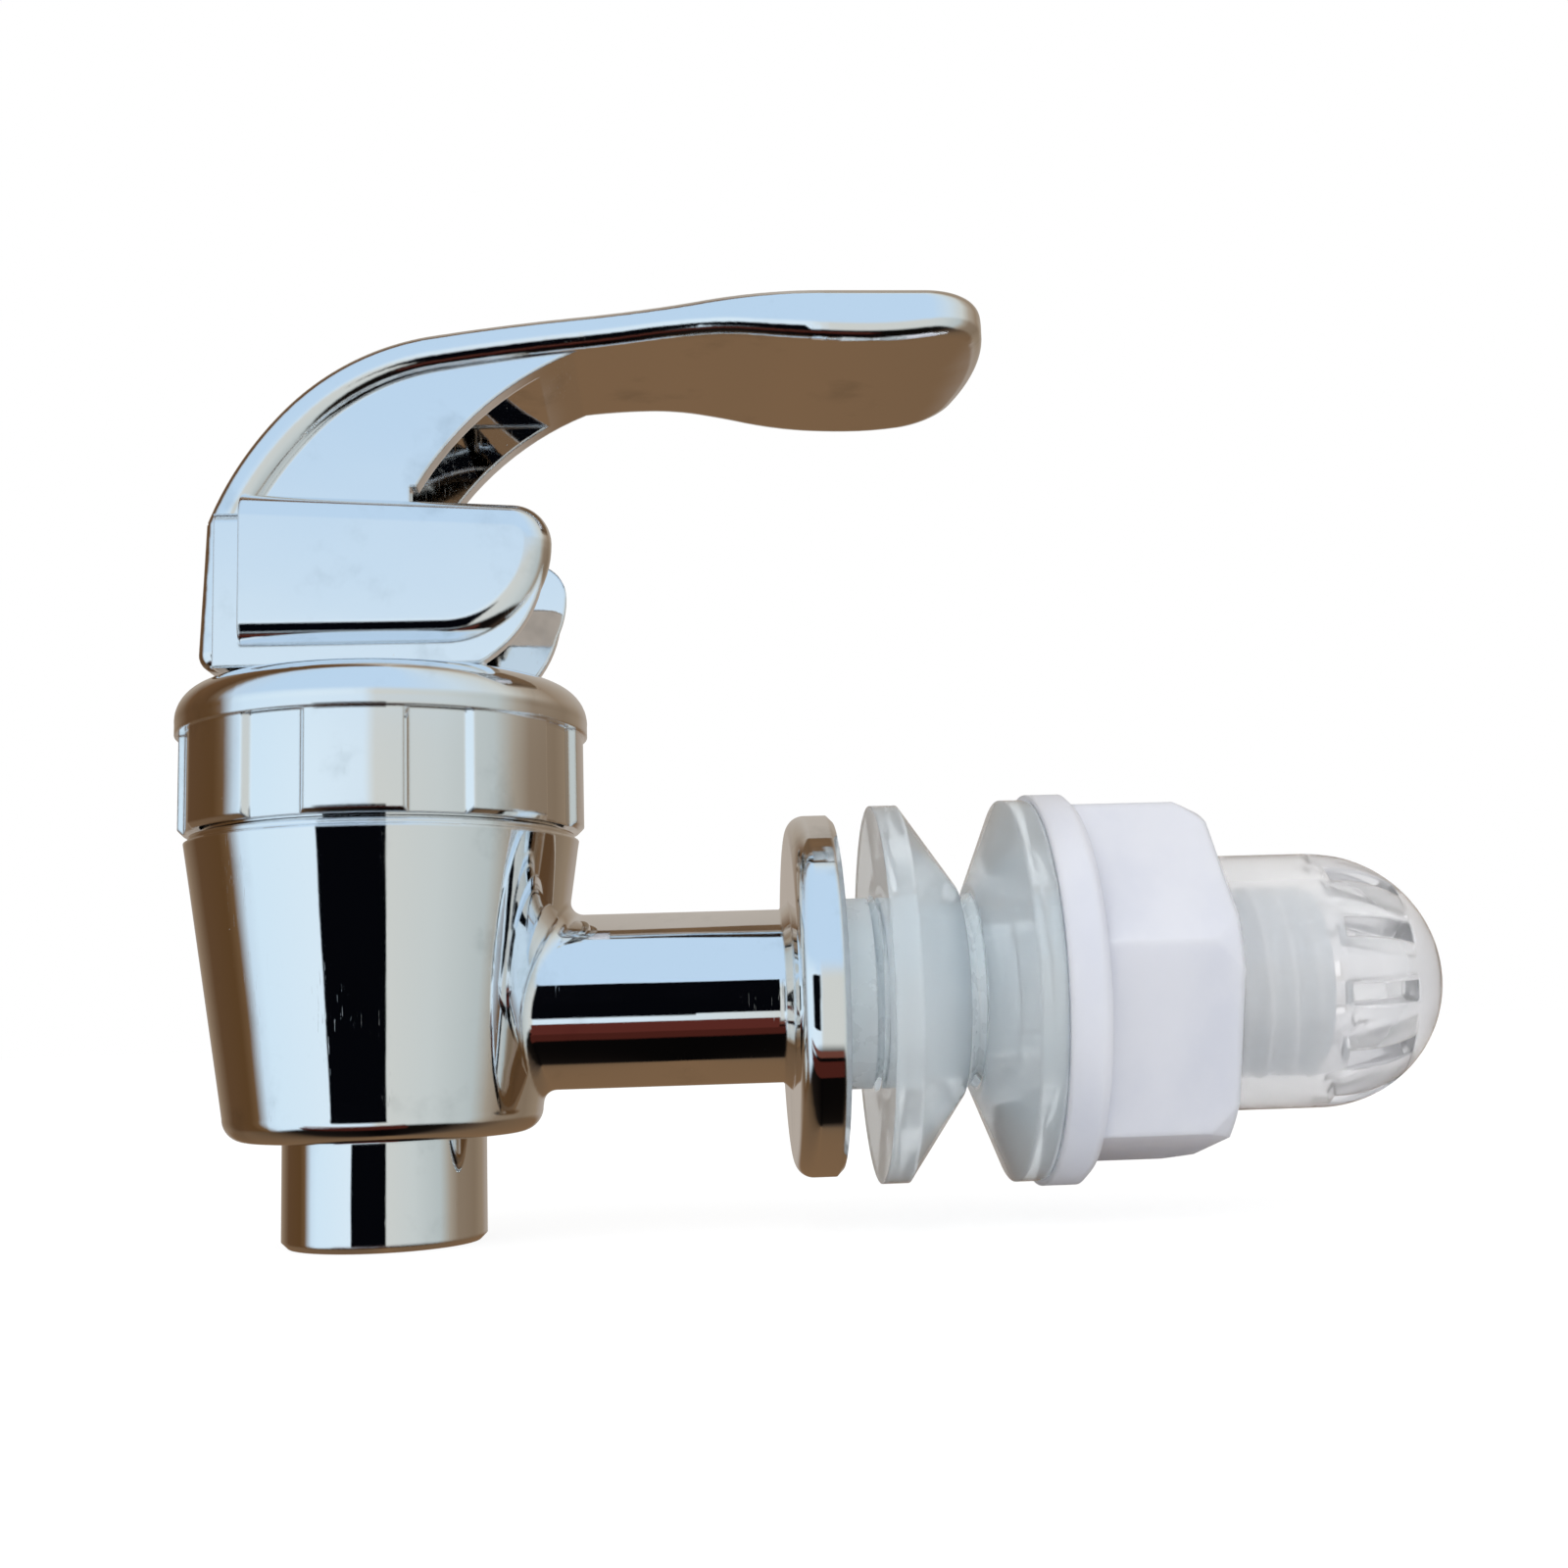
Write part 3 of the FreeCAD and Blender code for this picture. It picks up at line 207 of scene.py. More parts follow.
class SurfaceTree:
    """Node tree of one material with the parts that several finishes share."""

    BEVEL_SAMPLES = 6
    EMPTY_CELLS = 0.45
    SPECK_RIM = 0.02

    def __init__(self, name: str) -> None:
        """Start an empty material and its coordinates."""
        self.material = bpy.data.materials.new(name)
        self.material.use_nodes = True
        self.tree = self.material.node_tree
        self.tree.nodes.clear()
        self.place = add_node(self.tree, "ShaderNodeTexCoord").outputs["Object"]

    def noise(self, size_mm: float, detail: float = 3.0, roughness: float = 0.55,
              stretch: tuple[float, float, float] | None = None, turn: float = 0.0) -> bpy.types.NodeSocket:
        """Add a noise pattern.

        Args:
            size_mm: size of its features.
            detail: number of finer layers.
            roughness: weight of the finer layers.
            stretch: scale along each axis, for drawn-out features.
            turn: angle in degrees about Y that the stretch is laid at.

        Returns:
            The noise's value, from 0 to 1.
        """
        place = self.place
        if stretch:
            settings = {"Scale": stretch, "Rotation": (0.0, math.radians(turn), 0.0)}
            place = add_node(self.tree, "ShaderNodeMapping", settings, {"Vector": place}).outputs[0]
        settings = {"Scale": per_metre(size_mm), "Detail": detail, "Roughness": roughness}
        return add_node(self.tree, "ShaderNodeTexNoise", settings, {"Vector": place}).outputs[0]

    def specks(self, spacing_mm: float, radius_mm: float) -> bpy.types.NodeSocket:
        """Add small round specks, one at most in each cell.

        Args:
            spacing_mm: mean distance between specks.
            radius_mm: radius of the largest speck.

        Returns:
            1 in a speck and 0 elsewhere.
        """
        settings = {"Scale": per_metre(spacing_mm)}
        cells = add_node(self.tree, "ShaderNodeTexVoronoi", settings, {"Vector": self.place})
        links = {0: cells.outputs["Color"]}
        chance = add_node(self.tree, "ShaderNodeSeparateColor", links=links).outputs[0]
        edge = radius_mm / spacing_mm
        size = add_steps(self.tree, chance, self.EMPTY_CELLS, 1.0, 0.0, edge)
        gap = add_sum(self.tree, cells.outputs["Distance"], size, "SUBTRACT")
        return add_steps(self.tree, gap, -self.SPECK_RIM, 0.0, 1.0, 0.0)

    def rounded(self, radius_mm: float) -> bpy.types.NodeSocket:
        """Add the normal of edges that are rounded by this radius."""
        settings = {"samples": self.BEVEL_SAMPLES, "Radius": radius_mm * MM}
        return add_node(self.tree, "ShaderNodeBevel", settings).outputs[0]

    def bump(self, height: bpy.types.NodeSocket, depth_mm: float,
             below: bpy.types.NodeSocket | None = None) -> bpy.types.NodeSocket:
        """Add relief.

        Args:
            height: pattern from 0 to 1.
            depth_mm: depth of the relief.
            below: normal of the coarser relief under it.

        Returns:
            The bent normal.
        """
        links = {"Height": height}
        if below:
            links["Normal"] = below
        settings = {"Strength": 1.0, "Distance": depth_mm * MM}
        return add_node(self.tree, "ShaderNodeBump", settings, links).outputs[0]

    def mix(self, factor: bpy.types.NodeSocket, first: str | bpy.types.NodeSocket,
            second: str) -> bpy.types.NodeSocket:
        """Mix two colours.

        Args:
            factor: share of the second colour.
            first: hex colour or socket.
            second: hex colour.

        Returns:
            The mixed colour.
        """
        node = add_node(self.tree, "ShaderNodeMix", {"data_type": "RGBA"}, {0: factor})
        if isinstance(first, str):
            node.inputs[6].default_value = linear(first)
        else:
            self.tree.links.new(first, node.inputs[6])
        node.inputs[7].default_value = linear(second)
        return node.outputs[2]

    def close(self, settings: dict, links: dict) -> bpy.types.Material:
        """Add the surface shader and the output, and return the material."""
        shader = add_node(self.tree, "ShaderNodeBsdfPrincipled", settings, links)
        add_node(self.tree, "ShaderNodeOutputMaterial", links={"Surface": shader.outputs[0]})
        return self.material


@dataclass(frozen=True)
class ChromePlate:
    """Bright chrome electroplated on moulded ABS: mirror-like, with slow waves of the moulding
    under the plate, hairline wiping scratches, a breath of haze and settled dust."""

    name: str = "chrome_plate_on_abs"
    slot: str = "chrome_plate"
    colour: str = "#F4F5F6"
    haze_colour: str = "#DDDFE0"
    dust_colour: str = "#E9E6E1"
    haze_mm: float = 6.0
    haze_rough: tuple[float, float] = (0.015, 0.055)
    wave_mm: float = 9.0
    wave_depth_mm: float = 0.05
    grain_mm: float = 0.9
    grain_depth_mm: float = 0.0009
    scratch_mm: float = 1.1
    scratch_stretch: tuple[float, float, float] = (14.0, 1.0, 0.7)
    scratch_turn: float = 28.0
    scratch_depth_mm: float = 0.0012
    scratch_rough: float = 0.12
    scratch_patch_mm: float = 12.0
    dust_spacing_mm: float = 1.5
    dust_radius_mm: float = 0.07
    dust_patch_mm: float = 7.0
    dust_rough: float = 0.5
    dust_cover: float = 0.85
    edge_mm: float = 0.35

    def build(self) -> bpy.types.Material:
        """Make the chrome material."""
        surface = SurfaceTree(self.name)
        tree = surface.tree
        haze = surface.noise(self.haze_mm, detail=4.0)
        streaks = surface.noise(self.scratch_mm, detail=2.0, roughness=0.4,
                                stretch=self.scratch_stretch, turn=self.scratch_turn)
        patches = add_steps(tree, surface.noise(self.scratch_patch_mm, detail=2.0), start=0.42, end=0.62)
        scratch = add_sum(tree, add_steps(tree, streaks, start=0.66, end=0.74), patches, "MULTIPLY")
        settled = add_steps(tree, surface.noise(self.dust_patch_mm), start=0.46, end=0.58)
        dust = add_sum(tree, surface.specks(self.dust_spacing_mm, self.dust_radius_mm), settled, "MULTIPLY")
        colour = surface.mix(add_steps(tree, haze, start=0.55, end=0.8), self.colour, self.haze_colour)
        colour = surface.mix(dust, colour, self.dust_colour)
        low, high = self.haze_rough
        rough = add_steps(tree, haze, start=0.3, end=0.8, low=low, high=high)
        rough = add_sum(tree, rough, add_sum(tree, scratch, self.scratch_rough, "MULTIPLY"))
        rough = add_sum(tree, rough, add_sum(tree, dust, self.dust_rough, "MULTIPLY"))
        metal = add_sum(tree, add_sum(tree, dust, -self.dust_cover, "MULTIPLY"), 1.0)
        waves = surface.noise(self.wave_mm, detail=1.0)
        normal = surface.bump(waves, self.wave_depth_mm, surface.rounded(self.edge_mm))
        normal = surface.bump(surface.noise(self.grain_mm, detail=2.0), self.grain_depth_mm, normal)
        normal = surface.bump(scratch, self.scratch_depth_mm, normal)
        links = {"Base Color": colour, "Metallic": metal, "Roughness": rough, "Normal": normal}
        return surface.close({}, links)


@dataclass(frozen=True)
class TranslucentPlastic:
    """Unpigmented polypropylene or silicone, injection moulded: light goes in and spreads, so
    edges glow and what lies behind shows blurred, with faint flow marks and a satin skin."""

    name: str
    slot: str
    colour: str
    cloud_colour: str
    clear: float
    spread: float
    rough_low: float
    rough_high: float
    index: float = 1.49
    flow_mm: float = 7.0
    flow_stretch: tuple[float, float, float] = (1.0, 0.6, 0.6)
    flow_depth_mm: float = 0.01
    rough_mm: float = 2.4
    grain_mm: float = 0.5
    grain_depth_mm: float = 0.002
    speck_mm: float = 0.04
    speck_spacing_mm: float = 3.1
    speck_cover: float = 0.5
    speck_colour: str = "#B4AFA8"
    edge_mm: float = 0.5
    reach_mm: float = 2.0

    def build(self) -> bpy.types.Material:
        """Make the plastic material."""
        surface = SurfaceTree(self.name)
        tree = surface.tree
        flow = surface.noise(self.flow_mm, detail=4.0, roughness=0.5, stretch=self.flow_stretch)
        specks = surface.specks(self.speck_spacing_mm, self.speck_mm)
        colour = surface.mix(add_steps(tree, flow, start=0.35, end=0.7), self.colour, self.cloud_colour)
        colour = surface.mix(add_sum(tree, specks, self.speck_cover, "MULTIPLY"), colour, self.speck_colour)
        rough = add_steps(tree, surface.noise(self.rough_mm, detail=4.0), start=0.3, end=0.7,
                          low=self.rough_low, high=self.rough_high)
        normal = surface.bump(flow, self.flow_depth_mm, surface.rounded(self.edge_mm))
        normal = surface.bump(surface.noise(self.grain_mm), self.grain_depth_mm, normal)
        settings = {"IOR": self.index, "Transmission Weight": self.clear, "Subsurface Weight": self.spread,
                    "Subsurface Radius": (1.0, 1.0, 1.0), "Subsurface Scale": self.reach_mm * MM}
        return surface.close(settings, {"Base Color": colour, "Roughness": rough, "Normal": normal})


@dataclass(frozen=True)
class OpaquePlastic:
    """Moulded acetal or ABS of an inner piece: even, with a fine eroded grain."""

    name: str
    slot: str
    colour: str
    shade: str
    index: float = 1.48
    cloud_mm: float = 5.0
    rough_mm: float = 1.2
    rough_low: float = 0.38
    rough_high: float = 0.52
    grain_mm: float = 0.3
    grain_depth_mm: float = 0.004

    def build(self) -> bpy.types.Material:
        """Make the plastic material."""
        surface = SurfaceTree(self.name)
        tree = surface.tree
        clouds = add_steps(tree, surface.noise(self.cloud_mm, detail=4.0), start=0.35, end=0.7)
        colour = surface.mix(clouds, self.colour, self.shade)
        rough = add_steps(tree, surface.noise(self.rough_mm), start=0.3, end=0.7,
                          low=self.rough_low, high=self.rough_high)
        normal = surface.bump(surface.noise(self.grain_mm, detail=2.0), self.grain_depth_mm)
        links = {"Base Color": colour, "Roughness": rough, "Normal": normal}
        return surface.close({"IOR": self.index}, links)


@dataclass(frozen=True)
class StainlessSteel:
    """Drawn or turned stainless steel: grey metal with fine marks along the way it was worked."""

    name: str
    slot: str
    grain: tuple[float, float, float]
    colour: str = "#B9BABC"
    shade: str = "#8F9092"
    cloud_mm: float = 2.0
    mark_mm: float = 0.25
    mark_depth_mm: float = 0.003
    rough_low: float = 0.22
    rough_high: float = 0.38

    def build(self) -> bpy.types.Material:
        """Make the steel material."""
        surface = SurfaceTree(self.name)
        tree = surface.tree
        marks = surface.noise(self.mark_mm, detail=2.0, roughness=0.6, stretch=self.grain)
        clouds = add_steps(tree, surface.noise(self.cloud_mm), start=0.4, end=0.7)
        colour = surface.mix(clouds, self.colour, self.shade)
        rough = add_steps(tree, marks, start=0.3, end=0.7, low=self.rough_low, high=self.rough_high)
        normal = surface.bump(marks, self.mark_depth_mm)
        links = {"Base Color": colour, "Roughness": rough, "Normal": normal}
        return surface.close({"Metallic": 1.0}, links)


CHROME = ChromePlate()
SHANK_PLASTIC = TranslucentPlastic(
    "natural_polypropylene_shank", "shank_plastic", "#F2F9FE", "#ECF5FB", clear=0.06, spread=0.45,
    rough_low=0.24, rough_high=0.34, edge_mm=0.15, reach_mm=0.5)
NUT_PLASTIC = TranslucentPlastic(
    "milky_polypropylene_nut", "nut_plastic", "#E6E8F0", "#DDE0EA", clear=0.12, spread=0.55,
    rough_low=0.3, rough_high=0.4, edge_mm=0.8)
STRAINER_PLASTIC = TranslucentPlastic(
    "natural_polypropylene_strainer", "strainer_plastic", "#FBFBFC", "#F5F5F7", clear=0.78, spread=0.16,
    rough_low=0.02, rough_high=0.05, grain_depth_mm=0.0003)
WASHER_SILICONE = TranslucentPlastic(
    "clear_silicone_washer", "washer_silicone", "#F6FCFF", "#F0F8FD", clear=0.66, spread=0.28,
    rough_low=0.03, rough_high=0.07, index=1.41, grain_depth_mm=0.0004)
CUP_SILICONE = TranslucentPlastic(
    "white_silicone_seat", "cup_silicone", "#E4E6E6", "#D9DCDC", clear=0.1, spread=0.5,
    rough_low=0.45, rough_high=0.55, index=1.41)
GUIDE_PLASTIC = OpaquePlastic("white_abs_guide", "guide_plastic", "#E6E6E2", "#DDDDD8")
STEM_PLASTIC = OpaquePlastic("natural_acetal_stem", "stem_plastic", "#DCDCD6", "#D2D2CB")
SPRING_STEEL = StainlessSteel("drawn_stainless_wire", "spring_steel", (1.0, 1.0, 6.0))
PIN_STEEL = StainlessSteel("turned_stainless_pin", "pin_steel", (1.0, 6.0, 1.0))


class Workshop:
    """Bench operations that the modelled pieces share."""

    @staticmethod
    def clear_selection() -> None:
        """Leave edit mode and select nothing."""
        if bpy.context.object and bpy.context.object.mode != "OBJECT":
            bpy.ops.object.mode_set(mode="OBJECT")
        bpy.ops.object.select_all(action="DESELECT")

    @staticmethod
    def open_mesh(piece: bpy.types.Object) -> None:
        """Edit a piece's mesh with all of it selected."""
        Workshop.clear_selection()
        bpy.context.view_layer.objects.active = piece
        piece.select_set(True)
        bpy.ops.object.mode_set(mode="EDIT")
        bpy.ops.mesh.select_all(action="SELECT")

    @staticmethod
    def close_mesh() -> None:
        """Stop editing the mesh."""
        bpy.ops.object.mode_set(mode="OBJECT")

    @staticmethod
    def trace(name: str, points: list[tuple[float, float]]) -> bpy.types.Object:
        """Draw a profile in the XZ plane, one extruded edge after the other.

        Args:
            name: name of the piece.
            points: distance along X and radius, in millimetres.

        Returns:
            The object with the profile.
        """
        Workshop.clear_selection()
        first = Vector((points[0][0], 0.0, points[0][1])) * MM
        bpy.ops.mesh.primitive_plane_add(size=MM, location=first)
        piece = bpy.context.object
        piece.name = name
        bpy.ops.object.transform_apply(location=True)
        Workshop.open_mesh(piece)
        bpy.ops.mesh.merge(type="CENTER")
        for before, after in zip(points, points[1:]):
            step = Vector((after[0] - before[0], 0.0, after[1] - before[1])) * MM
            bpy.ops.mesh.extrude_region_move(TRANSFORM_OT_translate={"value": step})
        Workshop.close_mesh()
        return piece

    @staticmethod
    def finish_solid(piece: bpy.types.Object, merge_mm: float = 0.002) -> None:
        """Merge doubles and turn all faces outwards."""
        Workshop.open_mesh(piece)
        bpy.ops.mesh.remove_doubles(threshold=merge_mm * MM)
        bpy.ops.mesh.dissolve_degenerate(threshold=merge_mm * MM)
        bpy.ops.mesh.normals_make_consistent(inside=False)
        Workshop.close_mesh()

    @staticmethod
    def lathe(name: str, points: list[tuple[float, float]], steps: int) -> bpy.types.Object:
        """Turn a profile about the X axis into a solid.

        Args:
            name: name of the piece.
            points: distance along X and radius, in millimetres, from axis to axis.
            steps: faces around the solid.

        Returns:
            The turned solid.
        """
        piece = Workshop.trace(name, points)
        Workshop.open_mesh(piece)
        bpy.ops.mesh.spin(steps=steps, angle=math.tau, center=(0.0, 0.0, 0.0), axis=Axis.ALONG.value)
        Workshop.close_mesh()
        Workshop.finish_solid(piece)
        return piece

    @staticmethod
    def work(piece: bpy.types.Object, tool: bpy.types.Object, join: Join) -> None:
        """Join a tool solid to a piece or cut it away, and remove the tool."""
        Workshop.clear_selection()
        bpy.context.view_layer.objects.active = piece
        change = piece.modifiers.new(join.name.lower(), "BOOLEAN")
        change.operation = join.value
        change.object = tool
        change.solver = "EXACT"
        bpy.ops.object.modifier_apply(modifier=change.name)
        bpy.data.objects.remove(tool)

    @staticmethod
    def smooth(piece: bpy.types.Object, angle: float) -> None:
        """Shade a piece smooth up to an angle in degrees."""
        Workshop.clear_selection()
        bpy.context.view_layer.objects.active = piece
        piece.select_set(True)
        bpy.ops.object.shade_smooth_by_angle(angle=math.radians(angle))
        piece.select_set(False)


class SubAssembly:
    """A group of pieces that is built and dressed together."""

    def __init__(self, nodes: dict[str, bpy.types.Object]) -> None:
        """Keep the CAD nodes by name."""
        self.nodes = nodes

    def dress(self, piece: bpy.types.Object, material: bpy.types.Material, slot: str) -> None:
        """Give a piece its material."""
        piece.data.materials.clear()
        piece.data.materials.append(material)
        LOG.info("%s dressed with %s", piece.name, material.name)


class ChromeShell(SubAssembly):
    """Barrel with side tube and flange, collar and lever, all plated alike."""

    MEMBERS = ("valve_body", "collar_nut", "lever")

    def build(self) -> None:
        """Plate the three outer pieces."""
        material = CHROME.build()
        for name in self.MEMBERS:
            self.dress(self.nodes[name], material, CHROME.slot)


class ValveTrim(SubAssembly):
    """Working pieces inside the barrel."""

    FINISHES = ((GUIDE_PLASTIC, ("bonnet_guide",)), (STEM_PLASTIC, ("valve_stem",)),
                (CUP_SILICONE, ("seat_cup", "body_gasket", "stem_seal", "shank_seal")),
                (PIN_STEEL, ("pivot_pin",)))

    def build(self) -> None:
        """Dress guide, stem, cup, seals and pin."""
        for finish, names in self.FINISHES:
            material = finish.build()
            for name in names:
                self.dress(self.nodes[name], material, finish.slot)


@dataclass(frozen=True)
class SpringSizes:
    """Sizes of the return spring in millimetres, and the faces of its mesh."""

    wire_r: float = 0.45
    wire_sides: int = 10
    turns: int = 5
    steps: int = 40
    stem_travel: float = 3.4
    smooth_angle: float = 50.0


class ReturnSpring(SubAssembly):
    """Round-wire compression spring, wound at the CAD spring's length."""

    sizes = SpringSizes()

    def build(self) -> None:
        """Wind the spring in the CAD spring's place."""
        size = self.sizes
        low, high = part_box("return_spring")
        wire_r = size.wire_r * MM
        middle = (low + high) / 2
        coil_r = (high.x - low.x) / 2 - wire_r
        Workshop.clear_selection()
        bpy.ops.mesh.primitive_circle_add(vertices=size.wire_sides, radius=wire_r,
                                          rotation=(math.pi / 2, 0.0, 0.0))
        spring = bpy.context.object
        spring.name = "coil_spring"
        bpy.ops.object.transform_apply(rotation=True)
        Workshop.open_mesh(spring)
        bpy.ops.transform.translate(value=(coil_r, 0.0, 0.0))
        Workshop.close_mesh()
        winding = spring.modifiers.new("winding", "SCREW")
        winding.axis = "Z"
        winding.screw_offset = (high.z - low.z - 2 * wire_r) / size.turns
        winding.iterations = size.turns
        winding.steps = winding.render_steps = size.steps
        winding.use_smooth_shade = False
        bpy.ops.object.modifier_apply(modifier=winding.name)
        Workshop.open_mesh(spring)
        bpy.ops.mesh.fill_holes(sides=size.wire_sides)
        bpy.ops.mesh.select_all(action="SELECT")
        bpy.ops.transform.translate(value=(middle.x, middle.y, low.z + wire_r))
        Workshop.close_mesh()
        Workshop.finish_solid(spring)
        Workshop.smooth(spring, size.smooth_angle)
        self.dress(spring, SPRING_STEEL.build(), SPRING_STEEL.slot)
        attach(spring, "guide")
        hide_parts("return_spring")
        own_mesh(spring)


@dataclass(frozen=True)
class ShankSizes:
    """Sizes of the threaded shank in millimetres, and the faces of its mesh."""

    spigot_r: float = 5.4
    spigot_length: float = 12.0
    neck_r: float = 7.85
    neck_length: float = 2.6
    length: float = 39.4
    crest_r: float = 8.0
    root_r: float = 6.95
    bore_r: float = 4.0
    pitch: float = 2.0
    crest_flat: float = 0.36
    root_flat: float = 0.24
    first_crest: float = 3.4
    run_in: float = 0.8
    end_chamfer: float = 0.9
    spare_turns: int = 2
    steps: int = 72
    bore_steps: int = 48
    overlap: float = 0.1
    bore_overrun: float = 1.0
    cut_tolerance: float = 1e-4
    smooth_angle: float = 28.0


class ThreadedShank(SubAssembly):
    """Shank with a real helical thread on the CAD shank's outline."""

    sizes = ShankSizes()

    def make_thread(self) -> bpy.types.Object:
        """Wind the thread profile round the axis and cut it square at both ends.

        Returns:
            The threaded rod.
        """
        size = self.sizes
        flank = (size.pitch - size.crest_flat - size.root_flat) / 2
        begin = size.first_crest - size.pitch / 2 - size.spare_turns * size.pitch
        marks = [(0.0, size.root_r), (size.root_flat / 2, size.root_r),
                 (size.root_flat / 2 + flank, size.crest_r), (size.pitch / 2, size.crest_r),
                 (size.root_flat / 2 + flank + size.crest_flat, size.crest_r),
                 (size.pitch - size.root_flat / 2, size.root_r), (size.pitch, size.root_r)]
        rod = Workshop.trace("threaded_shank", [(begin + along, radius) for along, radius in marks])
        winding = rod.modifiers.new("winding", "SCREW")
        winding.axis = "X"
        winding.angle = math.tau
        winding.screw_offset = size.pitch * MM
        winding.iterations = math.ceil((size.length - begin) / size.pitch) + size.spare_turns
        winding.steps = winding.render_steps = size.steps
        winding.use_normal_calculate = True
        winding.use_smooth_shade = False
        bpy.ops.object.modifier_apply(modifier=winding.name)
        Workshop.finish_solid(rod)
        Workshop.open_mesh(rod)
        for place, inner in ((size.neck_length, True), (size.length, False)):
            bpy.ops.mesh.select_all(action="SELECT")
            bpy.ops.mesh.bisect(plane_co=(place * MM, 0.0, 0.0), plane_no=Axis.ALONG.value, use_fill=True,
                                clear_inner=inner, clear_outer=not inner, threshold=size.cut_tolerance * MM)
        Workshop.close_mesh()
        Workshop.finish_solid(rod)
        return rod

    def build(self) -> None:
        """Model the shank and put it in the CAD shank's place."""
        size = self.sizes
        shank = self.make_thread()
        outline = Workshop.lathe("shank_outline", [
            (size.neck_length - size.overlap, 0.0), (size.neck_length - size.overlap, size.root_r),
            (size.neck_length + size.run_in, size.crest_r), (size.length - size.end_chamfer, size.crest_r),
            (size.length, size.crest_r - size.end_chamfer), (size.length, 0.0)], size.steps)
        Workshop.work(shank, outline, Join.KEEP_COMMON)
        core = Workshop.lathe("shank_core", [
            (-size.spigot_length, 0.0), (-size.spigot_length, size.spigot_r), (0.0, size.spigot_r),
            (0.0, size.neck_r), (size.neck_length + size.overlap, size.neck_r),
            (size.neck_length + size.overlap, size.root_r - size.overlap),
            (size.length - size.overlap, size.root_r - size.overlap),
            (size.length - size.overlap, 0.0)], size.steps)
        Workshop.work(shank, core, Join.ADD)
        start = -size.spigot_length - size.bore_overrun
        end = size.length + size.bore_overrun
        bore = Workshop.lathe("shank_bore", [
            (start, 0.0), (start, size.bore_r), (end, size.bore_r), (end, 0.0)], size.bore_steps)
        Workshop.work(shank, bore, Join.CUT)
        Workshop.finish_solid(shank)
        Workshop.smooth(shank, size.smooth_angle)
        self.dress(shank, SHANK_PLASTIC.build(), SHANK_PLASTIC.slot)
        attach(shank, "housing")
        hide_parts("shank")


class ClampSet(SubAssembly):
    """Two cone washers and the flanged nut."""

    def build(self) -> None:
        """Dress the washers and the nut."""
        silicone = WASHER_SILICONE.build()
        for name in ("outer_washer", "inner_washer"):
            self.dress(self.nodes[name], silicone, WASHER_SILICONE.slot)
        self.dress(self.nodes["shank_nut"], NUT_PLASTIC.build(), NUT_PLASTIC.slot)


class Strainer(SubAssembly):
    """Slotted strainer cap."""

    def build(self) -> None:
        """Dress the cap."""
        self.dress(self.nodes["strainer_cap"], STRAINER_PLASTIC.build(), STRAINER_PLASTIC.slot)


@dataclass(frozen=True)
class RoomTones:
    """Tones of the room that the chrome mirrors, by bearing in degrees: 0 is straight behind the
    camera, -90 its left and 90 its right. The rows above and below fade in over two ranges of
    height in degrees, and the lower one starts deeper behind the tap by the dip."""

    upper_fade: tuple[float, float] = (7.0, 22.0)
    lower_fade: tuple[float, float] = (-30.0, -38.0)
    dip: float = 0.42
    matt_strength: float = 0.62
    level: tuple[tuple[int, str], ...] = (
        (-180, "#B4AAA0"), (-160, "#A3968A"), (-148, "#8F7C68"), (-124, "#5F4630"), (-98, "#5C4228"),
        (-90, "#6E543A"), (-80, "#CFE4F4"), (-72, "#D8EEFD"), (-30, "#DFF1FD"), (-2, "#DCEDF9"),
        (4, "#D3D6D2"), (40, "#CBD2D1"), (72, "#BAC3C3"), (86, "#A39A8C"), (98, "#8A7A68"),
        (128, "#83725F"), (148, "#93826E"), (160, "#A3968A"), (180, "#B4AAA0"))
    above: tuple[tuple[int, str], ...] = (
        (-180, "#BBB3AA"), (-150, "#A79A8B"), (-128, "#6B4F36"), (-104, "#5C432C"), (-94, "#7C6A58"),
        (-84, "#C4D9EC"), (-60, "#C1DCF4"), (20, "#C3DDF5"), (50, "#CFE0EC"), (80, "#D0D4D0"),
        (100, "#B0A596"), (125, "#95836F"), (150, "#A79A8B"), (180, "#BBB3AA"))
    below: tuple[tuple[int, str], ...] = (
        (-180, "#7D6248"), (-120, "#6E5843"), (-95, "#5B4937"), (-70, "#1A1512"), (0, "#060505"),
        (60, "#15110E"), (90, "#4C3F34"), (120, "#6F5A45"), (180, "#7D6248"))


@dataclass(frozen=True)
class Card:
    """A card in front of the tap that only mirrors show. Left to right and low to high are its
    edges and distance how far in front it hangs, in millimetres. Widest is the sideways share of
    the steepest ray that still meets the card."""

    name: str
    colour: str
    left: float
    right: float
    low: float
    high: float
    distance: float
    widest: float = 1.0


@dataclass(frozen=True)
class Lamp:
    """A soft lamp: its place and size in metres, and its power in watts."""

    name: str
    place: tuple[float, float, float]
    size: float
    watts: float


